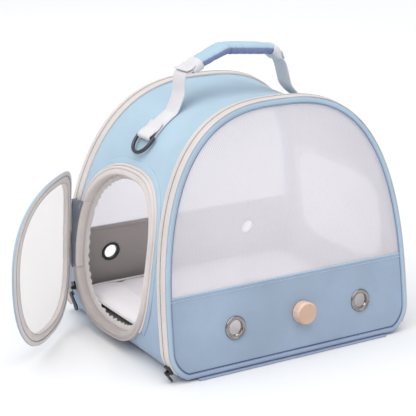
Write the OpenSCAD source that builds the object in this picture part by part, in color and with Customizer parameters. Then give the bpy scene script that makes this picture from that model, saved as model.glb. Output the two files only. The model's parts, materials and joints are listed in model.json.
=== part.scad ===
// Soft-sided travel carrier for a small bird: an arched fabric body with a zipped front panel,
// a zipped back panel, a side door, a padded carry handle, two D-rings and a short wooden perch.
// Millimetres. The origin is the centre of the base on the ground, +X to the right along the
// front, the front faces -Y, +Z is up. At rest the panels are closed and the side door stands open.

/* [Body] */
// Width of the body at its widest, over the fabric
body_w = 300; // [260:5:360]
// Height of the arch above the ground, without the handle
body_h = 270; // [240:5:330]
// Depth of the body at the base
body_d = 256; // [230:2:300]
// How far the top of the front face lies behind its foot
front_lean = 36; // [10:1:50]
// How far the top of the back face lies in front of its foot
back_lean = 50; // [10:1:60]
// Radius of the two lower corners, seen from the front
corner_r = 33; // [26:1:45]
// Power of the superellipse that the arch follows
arch_power = 2.7; // [2.2:0.1:3.2]
// Thickness of the padded outer fabric
wrap_t = 3; // [2:0.5:4]
// Thickness of the lining
lining_t = 1; // [0.6:0.2:1.4]
// How far the top sinks halfway between the front and the back
top_sag = 7; // [0:1:12]
// How far the sides are drawn in halfway between the front and the back
side_sag = 3; // [0:1:6]

/* [Panels and zips] */
// Width of the padded border round each panel
border_w = 6; // [4:1:10]
// Depth of the padded border, from front to back
border_d = 9; // [7:1:12]
// Width of each half of the zip tape
tape_w = 8.5; // [6:0.5:12]
// Thickness of the zip tape
tape_t = 1; // [0.6:0.1:1.5]
// Height at which the two zips end above the ground
zip_foot = 10; // [8:1:16]
// Height of the fabric band across the front panel
front_band_h = 88; // [75:1:110]
// Height of the fabric band across the back panel
back_band_h = 100; // [90:1:120]
// Thickness of the stiffened bands
band_t = 2.5; // [2:0.5:4]
// Thickness of the mesh
mesh_t = 0.8; // [0.6:0.1:1.2]
// Width of the spring-steel stay in each end of the wrap
stay_w = 6; // [4:1:8]
// Distance of each stay from the wrap's edge
stay_set = 1; // [0.5:0.5:2]
// Thickness of the spring-steel stay
stay_t = 0.8; // [0.6:0.1:1]
// Thickness of the fabric hinge strips at the foot of the panels
hinge_t = 1.2; // [0.8:0.1:1.4]
// Height of the panels' lower edge above the ground
panel_foot = 2.8; // [2.6:0.1:3.5]

/* [Eyelets] */
// Bore of an eyelet
eyelet_bore = 14; // [10:1:16]
// Diameter of an eyelet's rolled flange
eyelet_d = 25; // [22:1:28]
// Thickness of an eyelet's flanges
eyelet_flange_t = 1.4; // [1:0.1:2]
// Height of the front eyelets and of the knob
front_eyelet_z = 45.5; // [43:0.5:60]
// Distance between the front eyelets
front_eyelet_span = 158; // [120:2:180]
// Sideways place of the middle of the front eyelets
front_eyelet_x = 8; // [0:1:12]
// Height of the back eyelets
back_eyelet_z = 66; // [50:1:74]
// Distance between the back eyelets
back_eyelet_span = 186; // [140:2:200]

/* [Knob and perch] */
// Diameter of the wooden knob
knob_d = 24; // [18:1:30]
// Length of the wooden knob
knob_len = 11.5; // [9:0.5:16]
// Diameter of the bolt through the front band
bolt_d = 6; // [4:1:8]
// Diameter of the perch
perch_d = 14; // [10:1:16]
// Length of the perch
perch_len = 104; // [60:2:120]

/* [Side door] */
// Distance from the front face back to the door's outline, at half its height
door_front_gap = 33.4; // [33:0.1:45]
// Distance from the back face forward to the door's outline, at half its height
door_back_gap = 22.1; // [21:0.1:35]
// Height of the door's lowest point above the ground
door_foot = 10; // [9:1:20]
// Distance from the door's highest point up to the top of the arch
door_head = 76; // [74:1:95]
// Power of the superellipse that the door's outline follows
door_power = 2.6; // [2.2:0.1:3]
// How far the outline moves back for each millimetre it goes down
door_skew = 0.11; // [0:0.01:0.14]
// Width of the bound frame round the door opening
frame_w = 9; // [6:1:12]
// How far the frame stands out of the wall
frame_proud = 4; // [3:0.5:6]
// Width of the door's bound rim
rim_w = 12; // [8:1:16]
// Thickness of one layer of the door's rim
rim_t = 1.5; // [1:0.1:2]
// How far the door stands open at rest, in degrees
door_open = 45; // [20:1:70]
// Height of the lower end of the door's fabric hinge
hinge_z0 = 64; // [60:1:80]
// Height of the upper end of the door's fabric hinge
hinge_z1 = 142; // [120:1:145]

/* [Side window] */
// Distance from the front and back faces to the window in the right side, at half its height
window_gap = 27.2; // [26:0.1:45]
// Height of the window's lower edge above the ground
window_foot = 63; // [55:1:85]
// Distance from the window's upper edge up to the top of the arch
window_head = 97; // [95:1:115]
// Power of the superellipse that the window's outline follows
window_power = 4; // [3:0.5:5]
// Width of the binding round the window
binding_w = 8; // [5:1:10]

/* [Handle and rings] */
// Width of the webbing
webbing_w = 25; // [20:1:26]
// Thickness of the webbing
webbing_t = 1.6; // [1.2:0.1:2]
// Place of the handle along the body, in front of the origin
handle_y = -3; // [-8:1:2]
// Angle round the arch at which the handle straps leave the shoulder
fold_angle = 111; // [108:1:118]
// Angle round the arch at which the D-ring loop lies
ring_angle = 129; // [127:1:134]
// Half the length of the padded grip
grip_half = 48; // [44:1:56]
// Height of the grip's middle line at its ends
grip_end_z = 300; // [296:1:310]
// Rise of the grip's middle line between its ends and its middle
grip_rise = 11; // [8:1:20]
// How far the grip leans to the left
grip_shift = 1.5; // [0:0.5:8]
// How far the grip's right end stands above, and its left end below, the height of its ends
grip_tilt = 4; // [0:0.5:7]
// Slope of the left cap, in degrees
left_cap_slope = 31; // [20:1:40]
// Slope of the right cap, in degrees
right_cap_slope = 56; // [30:1:65]
// Width of the padded grip
grip_w = 24; // [20:1:28]
// Thickness of the padded grip
grip_t = 12; // [10:1:15]
// Length of the webbing cap at each end of the grip
cap_len = 15; // [12:1:24]
// Diameter of the D-ring's wire
ring_wire = 4; // [3:0.5:4]
// Half the width of the D-ring, at the middle of its wire
ring_r = 15; // [15:0.5:18]
// Length of the D-ring's straight legs
ring_leg = 5; // [3:1:8]

/* [Floor] */
// Height of the foam pad's top in the base
pad_top = 20; // [14:1:22]
// Thickness of the base board
board_t = 3; // [2:0.5:4]
// Thickness of the removable floor mat
mat_t = 10; // [6:1:12]
// Radius of the mat's corners in plan
mat_r = 14; // [8:1:24]

/* [Pulls] */
// Length of a zip slider along its tape
slider_len = 9; // [7:0.5:11]
// Width of a zip slider across its tape
slider_w = 8; // [6:0.5:10]
// Height of a zip slider
slider_h = 3; // [2.5:0.5:4]
// Length of the short pull tabs of the front and back zips
pull_len = 11; // [8:0.5:12]
// Length of the door's hanging pull tab
door_pull_len = 20; // [16:1:24]
// Length of the link between the door's slider and its pull tab, between its two eyes
link_len = 7; // [6:0.5:9]
// Where the door's slider stands on the door's outline, as an angle below its middle
door_slider_t = 32; // [31:1:40]
// Width of a pull tab
pull_w = 7; // [5:0.5:8]

/* [Hidden] */

clear = 0.3; // gap between pieces that move past each other
seat = 0.1; // gap between pieces of one body that lie on each other
lay = 0.5; // gap under webbing that lies across the sunken top
slot_gap = 0.6; // gap between the two halves of a zip
arch_steps = 36; // steps round the arch
corner_steps = 6; // steps round each lower corner
depth_steps = 6; // steps from front to back in the wrap
side_steps = 48; // steps round the door and the window
round_fn = 48; // facets of small round pieces

half_w = body_w / 2;
arch_h = body_h - corner_r; // height of the arch above its widest level
edge = border_d + slot_gap; // depth at which the wrap begins behind each face
lining_set = stay_set + stay_w + 2; // distance of the lining from the wrap's edge
top_depth = body_d - front_lean - back_lean - 2 * edge; // depth of the wrap at the top of the arch
stay_in = wrap_t + seat + top_sag * sink((stay_set + stay_w) / top_depth);
lining_in = wrap_t + seat;
inner_in = lining_in + lining_t; // inset of the lining's inner face
front_tilt = atan(front_lean / body_h);
back_tilt = atan(back_lean / body_h);

function front_y(z) = -body_d / 2 + front_lean * z / body_h;
function back_y(z) = body_d / 2 - back_lean * z / body_h;
// Share of the depth at a point of the wrap, from 0 at its front edge to 1 at its back edge
function depth_share(y, z) = (y - front_y(z) - edge) / (back_y(z) - front_y(z) - 2 * edge);
function sink(v) = 4 * v * (1 - v); // 0 at the ends, 1 halfway
function spow(c, p) = sign(c) * pow(abs(c), p); // a power that keeps the sign

// Outline of the body seen from the front, inset by i, drawn in where v is between 0 and 1
function outline_point(part, k, i, v) =
    let (a = half_w - i - side_sag * sink(v), b = arch_h - i - top_sag * sink(v),
         c = corner_r - i, cx = half_w - corner_r, s = side_sag * sink(v))
    part == 0 ? let (t = -90 + 90 * k / corner_steps) [cx + (c - s) * cos(t), corner_r + c * sin(t)] :
    part == 1 ? let (t = 180 * k / arch_steps)
        [a * spow(cos(t), 2 / arch_power), corner_r + b * spow(sin(t), 2 / arch_power)] :
    let (t = 180 + 90 * k / corner_steps) [-cx + (c - s) * cos(t), corner_r + c * sin(t)];
function outline(i = 0, v = 0) = concat(
    [for (k = [0:corner_steps - 1]) outline_point(0, k, i, v)],
    [for (k = [0:arch_steps]) outline_point(1, k, i, v)],
    [for (k = [1:corner_steps]) outline_point(2, k, i, v)]);

// Half the width of the body at a place on its side, moved out by o; a square foot has no lower corner
function side_x(y, z, o, square_foot = false) =
    let (v = min(1, max(0, depth_share(y, z))), a = half_w + o - side_sag * sink(v),
         b = arch_h + o - top_sag * sink(v))
    z >= corner_r ? a * pow(max(0, 1 - pow(min(1, (z - corner_r) / b), arch_power)), 1 / arch_power) :
    square_foot ? a :
    half_w - corner_r - side_sag * sink(v)
        + sqrt(max(0, pow(corner_r + o, 2) - pow(corner_r - z, 2)));

// Middle section of the arch, for what lies on the shoulders: a point at angle t, moved out by o
mid_a = half_w - side_sag;
mid_b = arch_h - top_sag;
function mid_point(t) = [mid_a * spow(cos(t), 2 / arch_power), corner_r + mid_b * spow(sin(t), 2 / arch_power)];
function mid_tangent(t) = let (d = mid_point(t + 0.5) - mid_point(t - 0.5)) d / norm(d);
function mid_out(t, o) = let (d = mid_tangent(t)) mid_point(t) + o * [d[1], -d[0]];

// A closed tube of fabric between two insets, from the front edge to the back edge
function loft_ring(i, j) = let (v = j / depth_steps)
    [for (p = outline(i, v)) [p[0], (1 - v) * (front_y(p[1]) + edge) + v * (back_y(p[1]) - edge), p[1]]];
module tube_loft(i_out, i_in) {
    n = len(outline());
    m = depth_steps + 1;
    points = concat([for (j = [0:depth_steps]) each loft_ring(i_out, j)],
                    [for (j = [0:depth_steps]) each loft_ring(i_in, j)]);
    function at(s, j, k) = s * n * m + j * n + (k % n);
    faces = concat(
        [for (j = [0:depth_steps - 1]) for (k = [0:n - 1]) each [
            [at(0, j, k), at(0, j, k + 1), at(0, j + 1, k)],
            [at(0, j, k + 1), at(0, j + 1, k + 1), at(0, j + 1, k)],
            [at(1, j, k), at(1, j + 1, k), at(1, j, k + 1)],
            [at(1, j, k + 1), at(1, j + 1, k), at(1, j + 1, k + 1)]]],
        [for (k = [0:n - 1]) each [
            [at(0, 0, k), at(1, 0, k), at(0, 0, k + 1)],
            [at(0, 0, k + 1), at(1, 0, k), at(1, 0, k + 1)],
            [at(0, depth_steps, k), at(0, depth_steps, k + 1), at(1, depth_steps, k)],
            [at(0, depth_steps, k + 1), at(1, depth_steps, k + 1), at(1, depth_steps, k)]]]);
    polyhedron(points, faces, convexity = 6);
}

// Outline of an opening in a side: a skewed superellipse, as [y, z] points
function side_outline(cy, cz, a, b, p, skew, grow) = [for (k = [0:side_steps - 1])
    let (t = 360 * k / side_steps, dz = (b + grow) * spow(sin(t), 2 / p))
    [cy + (a + grow) * spow(cos(t), 2 / p) - skew * dz, cz + dz]];
function door_outline(grow = 0) = side_outline(door_y, door_z, door_a, door_b, door_power, door_skew, grow);
function window_outline(grow = 0) =
    side_outline(window_y, window_z, window_a, window_b, window_power, 0, grow);
window_z = (window_foot + body_h - window_head) / 2;
window_b = (body_h - window_head - window_foot) / 2;
window_a = (back_y(window_z) - front_y(window_z)) / 2 - window_gap;
window_y = (front_y(window_z) + back_y(window_z)) / 2;
door_z = (door_foot + body_h - door_head) / 2;
door_b = (body_h - door_head - door_foot) / 2;
door_a = (back_y(door_z) - front_y(door_z) - door_front_gap - door_back_gap) / 2;
door_y = front_y(door_z) + door_front_gap + door_a;

// A ring that lies on a side, between two outlines and between two offsets from the wall
module wall_ring(side, outer, inner, out, in, square_out = true, square_in = true) {
    n = len(outer);
    function lift(p, o, sq) = [side * side_x(p[0], p[1], o, sq), p[0], p[1]];
    points = concat([for (p = outer) lift(p, out, square_out)], [for (p = inner) lift(p, out, square_out)],
                    [for (p = inner) lift(p, in, square_in)], [for (p = outer) lift(p, in, square_in)]);
    faces = [for (s = [0:3]) for (k = [0:n - 1])
        let (a = s * n + k, b = s * n + (k + 1) % n, c = (s + 1) % 4 * n + k, d = (s + 1) % 4 * n + (k + 1) % n)
        each (side > 0 ? [[a, b, c], [b, d, c]] : [[a, c, b], [b, c, d]])];
    polyhedron(points, [for (f = faces) [f[2], f[1], f[0]]], convexity = 6);
}

// A pane that fills an outline on a side, between two offsets from the wall
module wall_pane(side, edge_line, centre, out, in) {
    n = len(edge_line);
    shares = [1, 0.8, 0.55, 0.28];
    rings = len(shares);
    function lift(p, o) = [side * side_x(p[0], p[1], o, true), p[0], p[1]];
    function sheet(o) = concat([for (s = shares) each [for (p = edge_line) lift(centre + s * (p - centre), o)]],
                               [lift(centre, o)]);
    top = rings * n;
    size = top + 1;
    function skin(base, flip) = concat(
        [for (r = [0:rings - 2]) for (k = [0:n - 1])
            let (a = base + r * n + k, b = base + r * n + (k + 1) % n, c = a + n, d = b + n)
            each (flip ? [[a, c, b], [b, c, d]] : [[a, b, c], [b, d, c]])],
        [for (k = [0:n - 1]) let (a = base + (rings - 1) * n + k, b = base + (rings - 1) * n + (k + 1) % n)
            flip ? [a, base + top, b] : [a, b, base + top]]);
    rim = [for (k = [0:n - 1]) let (a = k, b = (k + 1) % n, c = size + k, d = size + (k + 1) % n)
        each (side > 0 ? [[a, c, b], [b, c, d]] : [[a, b, c], [b, d, c]])];
    faces = concat(skin(0, side < 0), skin(size, side > 0), rim);
    polyhedron(concat(sheet(out), sheet(in)), [for (f = faces) [f[2], f[1], f[0]]], convexity = 6);
}

// A prism along X whose cross-section is given as [y, z] points
module along_x(x0, x1) {
    translate([x0, 0, 0]) rotate([90, 0, 90]) linear_extrude(x1 - x0) children();
}

// A prism along Y whose cross-section is given in [x, z]
module along_y(y0, y1) {
    translate([0, y1, 0]) rotate([90, 0, 0]) linear_extrude(y1 - y0) children();
}

// The space between two depths behind the leaning front or back face, above a height
module face_slab(front, d0, d1, z0 = -5) {
    z1 = body_h + 20;
    s = front ? 1 : -1;
    function face(z) = front ? front_y(z) : back_y(z);
    along_x(-body_w, body_w)
        polygon([[face(z0) + s * d0, z0], [face(z0) + s * d1, z0], [face(z1) + s * d1, z1], [face(z1) + s * d0, z1]]);
}

// A ring or plate of a panel: a cross-section cut to a depth range behind its face
module face_plate(front, d0, d1, z0 = -5) {
    intersection() {
        along_y(-body_d, body_d) children();
        face_slab(front, d0, d1, z0);
    }
}

module outline_ring(i_out, i_in) {
    difference() {
        polygon(outline(i_out));
        polygon(outline(i_in));
    }
}

// Cross-section of a panel, inset by i, above its foot
module panel_shape(i, z0, z1) {
    intersection() {
        polygon(outline(i));
        translate([-body_w, z0]) square([2 * body_w, z1 - z0]);
    }
}

// Places its children in the plane of a face: local -Y points out of the front face
module on_front(x, z) {
    translate([x, front_y(z), z]) rotate([-front_tilt, 0, 0]) children();
}

module on_back(x, z) {
    translate([x, back_y(z), z]) rotate([back_tilt, 0, 0]) rotate([0, 0, 180]) children();
}

stay_foot = stay_in + stay_t + 2; // height at which the stays end in the lower corners
band_in = 1; // depth of the bands' outer face behind the panel's face
band_back = band_in + band_t;
eyelet_wall = 1.5; // wall of the eyelet's barrel
eyelet_gap = 0.05; // gap between a flange and the band

module panel_border(front) {
    face_plate(front, 0, border_d) difference() {
        panel_shape(0, panel_foot, body_h);
        panel_shape(border_w, panel_foot + border_w, body_h);
    }
}

module panel_band(front, band_h) {
    face_plate(front, band_in, band_back) panel_shape(border_w + seat, panel_foot + border_w + seat, band_h);
}

module panel_mesh(front, band_h) {
    face_plate(front, band_in + 0.6, band_in + 0.6 + mesh_t) panel_shape(border_w + seat, band_h + seat, body_h);
}

module moving_tape(front) {
    face_plate(front, border_d - tape_w, border_d, zip_foot) outline_ring(-tape_t, 0);
}

module fixed_tape(front) {
    face_plate(front, edge, edge + tape_w, zip_foot) outline_ring(-tape_t, 0);
}

module stay(front) {
    face_plate(front, edge + stay_set, edge + stay_set + stay_w, stay_foot)
        outline_ring(stay_in, stay_in + stay_t);
}

module hinge_strip(front) {
    s = front ? -1 : 1;
    length = body_w - 2 * corner_r;
    depth = border_d - 2; // it ends just behind the panel's hinge line
    y0 = s * (body_d / 2 - edge + clear);
    color("lightsteelblue") translate([-length / 2, front ? y0 - depth : y0, 0]) cube([length, depth, hinge_t]);
}

// Eyelet: a bored barrel with a flange on each side of the band
module eyelet() {
    bore_r = eyelet_bore / 2;
    rim_r = eyelet_d / 2;
    front = eyelet_gap - band_in;
    back = -band_back - eyelet_gap;
    rotate([90, 0, 0]) rotate_extrude($fn = 64)
        polygon([[bore_r, back - eyelet_flange_t], [rim_r - 1, back - eyelet_flange_t], [rim_r - 1, back],
                 [bore_r + eyelet_wall, back], [bore_r + eyelet_wall, front], [rim_r, front],
                 [rim_r, front + eyelet_flange_t / 2], [rim_r - 1.2, front + eyelet_flange_t],
                 [bore_r, front + eyelet_flange_t]]);
}

module eyelet_hole() {
    rotate([90, 0, 0])
        cylinder(h = 4 * band_back, r = eyelet_bore / 2 + eyelet_wall + seat, center = true, $fn = 64);
}

module front_eyelet_places() {
    for (s = [-1, 1]) on_front(front_eyelet_x + s * front_eyelet_span / 2, front_eyelet_z) children();
}

module back_eyelet_places() {
    for (s = [-1, 1]) on_back(s * back_eyelet_span / 2, back_eyelet_z) children();
}

knob_x = front_eyelet_x + 3;
knob_z = front_eyelet_z + 1.5;
bolt_fit = 0.05;
bolt_in_knob = knob_len - 3;
bolt_in_perch = 18;
knob_back = band_in - clear; // depth of the knob's back behind the panel's face

module knob_place() {
    on_front(knob_x, knob_z) children();
}

// ---- shell

module shell_wrap() {
    color("lightblue") difference() {
        tube_loft(0, wrap_t);
        along_x(-body_w, 0) polygon(door_outline(seat));
        along_x(0, body_w) polygon(window_outline(binding_w / 2 + seat));
    }
}

module shell_lining() {
    color("dimgray") difference() {
        intersection() {
            tube_loft(lining_in, inner_in);
            face_slab(true, edge + lining_set, body_d);
            face_slab(false, edge + lining_set, body_d);
        }
        along_x(-body_w, 0) polygon(door_outline(seat));
        along_x(0, body_w) polygon(window_outline(binding_w / 2 + seat));
    }
}

// A slab that fills the inside of the body between two heights
module floor_slab(i, z0, z1) {
    intersection() {
        along_y(-body_d, body_d) intersection() {
            polygon(outline(i));
            translate([-body_w, z0]) square([2 * body_w, z1 - z0]);
        }
        face_slab(true, edge + lining_set, body_d);
        face_slab(false, edge + lining_set, body_d);
    }
}

floor_in = inner_in + side_sag + seat; // inset that clears the drawn-in sides
board_z = pad_top + seat;
mat_z = board_z + board_t + clear;
mat_top = mat_z + mat_t;

module base_pad() {
    color("whitesmoke") floor_slab(floor_in, inner_in + seat, pad_top);
}

module base_board() {
    color("gray") floor_slab(floor_in, board_z, board_z + board_t);
}

mat_half_w = half_w - corner_r + sqrt(pow(corner_r - floor_in, 2) - pow(corner_r - mat_z, 2)) - 3;
mat_front = front_y(mat_top) + edge + 2;
mat_back = back_y(mat_top) - edge - 2;

module floor_mat() {
    color("lavender") translate([0, 0, mat_z]) linear_extrude(mat_t) hull()
        for (sx = [-1, 1], y = [mat_front + mat_r, mat_back - mat_r])
            translate([sx * (mat_half_w - mat_r), y]) circle(r = mat_r, $fn = 32);
}

module front_zip_tape() {
    color("antiquewhite") fixed_tape(true);
}

module back_zip_tape() {
    color("antiquewhite") fixed_tape(false);
}

module front_stay() {
    color("silver") stay(true);
}

module back_stay() {
    color("silver") stay(false);
}

module door_frame() {
    color("antiquewhite")
        wall_ring(-1, door_outline(), door_outline(-frame_w), frame_proud, -inner_in, true, false);
}

module door_zip_tape() {
    color("tan") difference() {
        intersection() {
            wall_ring(-1, door_outline(tape_w), door_outline(seat), lay + tape_t, lay, false, false);
            translate([-2 * body_w, -body_d, corner_r]) cube([2 * body_w, 2 * body_d, body_h]);
            face_slab(true, edge + tape_w + clear, body_d);
            face_slab(false, edge + tape_w + clear, body_d);
        }
        translate([hinge_x, hinge_y, hinge_z0 - seat]) // groove for the hinge's piping
            cylinder(h = hinge_z1 - hinge_z0 + 2 * seat, r = hinge_pin_r + seat, $fn = 24);
    }
}

// The door's hinge line
door_back = max([for (p = door_outline()) p[0]]);
hinge_pin_r = 1.4;
hinge_x = -(side_x(door_back, (hinge_z0 + hinge_z1) / 2, frame_proud) + clear);
hinge_y = door_back + hinge_pin_r + clear;

// A round piping on a strip of fabric that stands on the wall behind the door's frame
module door_hinge_piping() {
    steps = 6;
    rise = (hinge_z1 - hinge_z0) / steps;
    foot = [for (k = [0:steps]) let (z = hinge_z0 + k * rise)
        [-side_x(hinge_y, z, lay + tape_t + 2 * clear), z]];
    color("slategray") {
        translate([hinge_x, hinge_y, hinge_z0])
            cylinder(h = hinge_z1 - hinge_z0, r = hinge_pin_r, $fn = 24);
        along_y(hinge_y, hinge_y + hinge_pin_r)
            polygon(concat(foot, [[hinge_x, hinge_z1], [hinge_x, hinge_z0]]));
    }
}

module side_window_mesh() {
    color("white") wall_pane(1, window_outline(-binding_w / 2 - seat), [window_y, window_z],
        -wrap_t / 2 + mesh_t / 2, -wrap_t / 2 - mesh_t / 2);
}

module side_window_binding() {
    color("antiquewhite")
        wall_ring(1, window_outline(binding_w / 2), window_outline(-binding_w / 2), 1, -inner_in);
}

// Webbing that lies on a shoulder and ends in a loop round the D-ring's bar
loop_r = ring_wire / 2 + clear + webbing_t;
ring_out = loop_r + lay; // height of the D-ring's bar over the fabric
ring_place = mid_out(ring_angle, ring_out);

module shoulder_strap(side) {
    steps = 6;
    span = ring_angle - fold_angle;
    over = [for (k = [0:steps]) mid_out(fold_angle + span * k / steps, lay + webbing_t)];
    under = [for (k = [steps:-1:0]) mid_out(fold_angle + span * k / steps, lay)];
    mirror([side > 0 ? 1 : 0, 0, 0]) difference() {
        union() {
            along_y(handle_y - webbing_w / 2, handle_y + webbing_w / 2) polygon(concat(over, under));
            translate([ring_place[0], handle_y, ring_place[1]]) rotate([90, 0, 0])
                cylinder(h = webbing_w, r = loop_r, center = true, $fn = round_fn);
        }
        translate([ring_place[0], handle_y, ring_place[1]]) rotate([90, 0, 0])
            cylinder(h = 2 * webbing_w, r = ring_wire / 2 + clear, center = true, $fn = round_fn);
    }
}

// D-ring hanging down the shoulder from its bar
module d_ring(side) {
    d = mid_tangent(ring_angle);
    drop = atan2(d[0], -d[1]);
    mirror([side > 0 ? 1 : 0, 0, 0]) translate([ring_place[0], handle_y, ring_place[1]]) rotate([0, -drop, 0]) {
        rotate([90, 0, 0]) cylinder(h = 2 * ring_r, d = ring_wire, center = true, $fn = round_fn);
        for (s = [-1, 1]) translate([0, s * ring_r, 0]) {
            sphere(d = ring_wire, $fn = round_fn);
            translate([0, 0, -ring_leg]) cylinder(h = ring_leg, d = ring_wire, $fn = round_fn);
        }
        translate([0, 0, -ring_leg]) rotate([0, 90, 0]) rotate([0, 0, -90])
            rotate_extrude(angle = 180, $fn = 96) translate([ring_r, 0]) circle(d = ring_wire, $fn = 24);
    }
}

module left_side_strap() {
    color("white") shoulder_strap(-1);
}

module right_side_strap() {
    color("white") shoulder_strap(1);
}

module left_d_ring() {
    color("dimgray") d_ring(-1);
}

module right_d_ring() {
    color("dimgray") d_ring(1);
}

// ---- front panel

module front_border() {
    color("lightskyblue") panel_border(true);
}

module front_band() {
    color("lightslategray") difference() {
        panel_band(true, front_band_h);
        front_eyelet_places() eyelet_hole();
        knob_place() rotate([90, 0, 0]) cylinder(h = 4 * band_back, r = bolt_d / 2 + seat, center = true, $fn = round_fn);
    }
}

module front_mesh() {
    color("white") panel_mesh(true, front_band_h);
}

module front_panel_tape() {
    color("antiquewhite") moving_tape(true);
}

module front_eyelets() {
    color("silver") front_eyelet_places() eyelet();
}

module perch_bolt() {
    color("silver") knob_place() translate([0, bolt_in_perch + band_back, 0]) rotate([90, 0, 0])
        cylinder(h = bolt_in_perch + band_back - knob_back + bolt_in_knob, d = bolt_d, $fn = round_fn);
}

// The perch lies level; its end is cut to the slope of the panel
module perch() {
    y0 = front_y(knob_z);
    bevel = 2;
    color("burlywood") difference() {
        translate([knob_x, y0, knob_z]) rotate([-90, 0, 0]) {
            cylinder(h = perch_len + band_back - bevel, d = perch_d, $fn = round_fn);
            translate([0, 0, perch_len + band_back - bevel])
                cylinder(h = bevel, d1 = perch_d, d2 = perch_d - 2 * bevel, $fn = round_fn);
        }
        face_slab(true, -border_d, band_back + seat);
        knob_place() rotate([-90, 0, 0])
            cylinder(h = bolt_in_perch + band_back + 1, r = bolt_d / 2 + bolt_fit, $fn = round_fn);
    }
}

module front_knob() {
    ease = 2.5; // radius of the rounded front edge
    color("peru") knob_place() rotate([90, 0, 0]) translate([0, 0, -knob_back]) rotate_extrude($fn = 96)
        polygon(concat(
            [[bolt_d / 2 + bolt_fit, 0], [knob_d / 2 - 0.8, 0], [knob_d / 2, 0.8]],
            [for (t = [0:15:90]) [knob_d / 2 - ease + ease * cos(t), knob_len - ease + ease * sin(t)]],
            [[0, knob_len], [0, bolt_in_knob + 0.5], [bolt_d / 2 + bolt_fit, bolt_in_knob + 0.5]]));
}

// ---- back panel

module back_border() {
    color("lightskyblue") panel_border(false);
}

module back_band() {
    color("dimgray") difference() {
        panel_band(false, back_band_h);
        back_eyelet_places() eyelet_hole();
    }
}

module back_mesh() {
    color("white") panel_mesh(false, back_band_h);
}

module back_panel_tape() {
    color("antiquewhite") moving_tape(false);
}

module back_eyelets() {
    color("dimgray") back_eyelet_places() eyelet();
}

// ---- side door: its pieces are laid out shut, against the frame, then swung open

module swing_door() {
    translate([hinge_x, hinge_y, 0]) rotate([0, 0, -door_open]) translate([-hinge_x, -hinge_y, 0]) children();
}

door_in = frame_proud + clear; // offset of the door's inner face from the wall
door_mid = door_in + rim_t;
door_out = door_mid + rim_t;

module door_rim() {
    color("antiquewhite") swing_door()
        wall_ring(-1, door_outline(), door_outline(-rim_w), door_mid - 2 * seat, door_in);
}

module door_cover() {
    color("lightblue") swing_door()
        wall_ring(-1, door_outline(), door_outline(-rim_w), door_out, door_mid);
}

module door_mesh() {
    middle = (door_in + door_out) / 2;
    color("white") swing_door() wall_pane(-1, door_outline(-rim_w - seat), [door_y, door_z],
        middle + mesh_t / 2, middle - mesh_t / 2);
}

// Zip slider and pull in local axes: X out of the tape, Y across it, +Z along it towards the pull
pin_r = 0.8;
eye_wall = 0.8; // wall round the eye of a pull or a link
eye_r = pin_r + clear;
ear_t = 1.2; // thickness of the slider's two ears
eye_w = pull_w - 1.8 - ear_t - 2 * clear;
pin_x = clear + slider_h + clear + eye_r + eye_wall;
pin_z = slider_len / 2 - 2.5;
plate_t = 1.6; // thickness of a pull tab

module zip_slider() {
    translate([clear, 0, 0]) {
        translate([0, -slider_w / 2, -slider_len / 2]) cube([slider_h, slider_w, slider_len]);
        for (s = [-1, 1]) translate([slider_h - 0.5, s * (pull_w / 2 - 0.9) - ear_t / 2, pin_z - 1.5])
            cube([pin_x - clear - slider_h + 1.5, ear_t, 3]);
    }
    translate([pin_x, 0, pin_z]) rotate([90, 0, 0])
        cylinder(h = pull_w - 1, r = pin_r, center = true, $fn = 24);
}

// An eye that turns on the slider's pin
module pin_eye() {
    rotate([90, 0, 0]) difference() {
        cylinder(h = eye_w, r = eye_r + eye_wall, center = true, $fn = 24);
        cylinder(h = 2 * eye_w, r = eye_r, center = true, $fn = 24);
    }
}

module tab(length) {
    translate([-plate_t / 2, 0, 0]) rotate([0, 90, 0]) linear_extrude(plate_t) hull() {
        translate([-1, -eye_w / 2]) square([1, eye_w]);
        translate([pull_w / 2 - length, 0]) circle(d = pull_w, $fn = 32);
    }
}

module zip_pull() {
    translate([pin_x, 0, pin_z]) {
        pin_eye();
        translate([-plate_t / 2, -eye_w / 2, eye_r]) cube([plate_t, eye_w, eye_wall + 1]);
        translate([0, 0, eye_r + eye_wall]) tab(pull_len - eye_r - eye_wall);
    }
}

// The front slider lies on the corner's arc; the back one on the opposite corner
corner_x = half_w - corner_r;
slider_angle = 212;
slider_z = corner_r + (corner_r + tape_t) * sin(slider_angle);
slider_depth = border_d + slot_gap / 2;

module front_slider_place() {
    translate([-corner_x, front_y(slider_z) + slider_depth, corner_r]) rotate([0, -slider_angle, 0])
        translate([corner_r + tape_t, 0, 0]) children();
}

module back_slider_place() {
    mirror([1, 0, 0]) translate([-corner_x, back_y(slider_z) - slider_depth, corner_r])
        rotate([0, -slider_angle, 0]) translate([corner_r + tape_t, 0, 0]) children();
}

// The door's slider stands on the zip round the opening, below the hinge. It travels about the
// middle of the curve that the outline has there.
slider_off = slider_w / 2 + clear; // distance of the slider's middle from the outline
function door_edge(t) = let (dz = (door_b + slider_off) * spow(sin(t), 2 / door_power))
    [door_y + (door_a + slider_off) * spow(cos(t), 2 / door_power) - door_skew * dz, door_z + dz];
slider_at = door_edge(-door_slider_t);
slider_run = door_edge(6 - door_slider_t) - door_edge(-6 - door_slider_t);
slider_turn = atan2(slider_run[0], slider_run[1]); // lean of the tape from upright
slider_chord = door_edge(6 - door_slider_t) - slider_at;
slider_hub_r = norm(slider_chord) / (2 * sin(abs(
    atan2(slider_chord[0], slider_chord[1]) - slider_turn)));
slider_hub = slider_at + slider_hub_r * [-cos(slider_turn), sin(slider_turn)];
slider_wall = max([for (dz = [-1, 1]) side_x(slider_at[0], slider_at[1] + dz * slider_len / 2,
    lay + tape_t)]);

module door_slider_place() {
    translate([-slider_wall, slider_at[0], slider_at[1]]) rotate([-slider_turn, 0, 0]) rotate([0, 180, 0])
        children();
}

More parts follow.
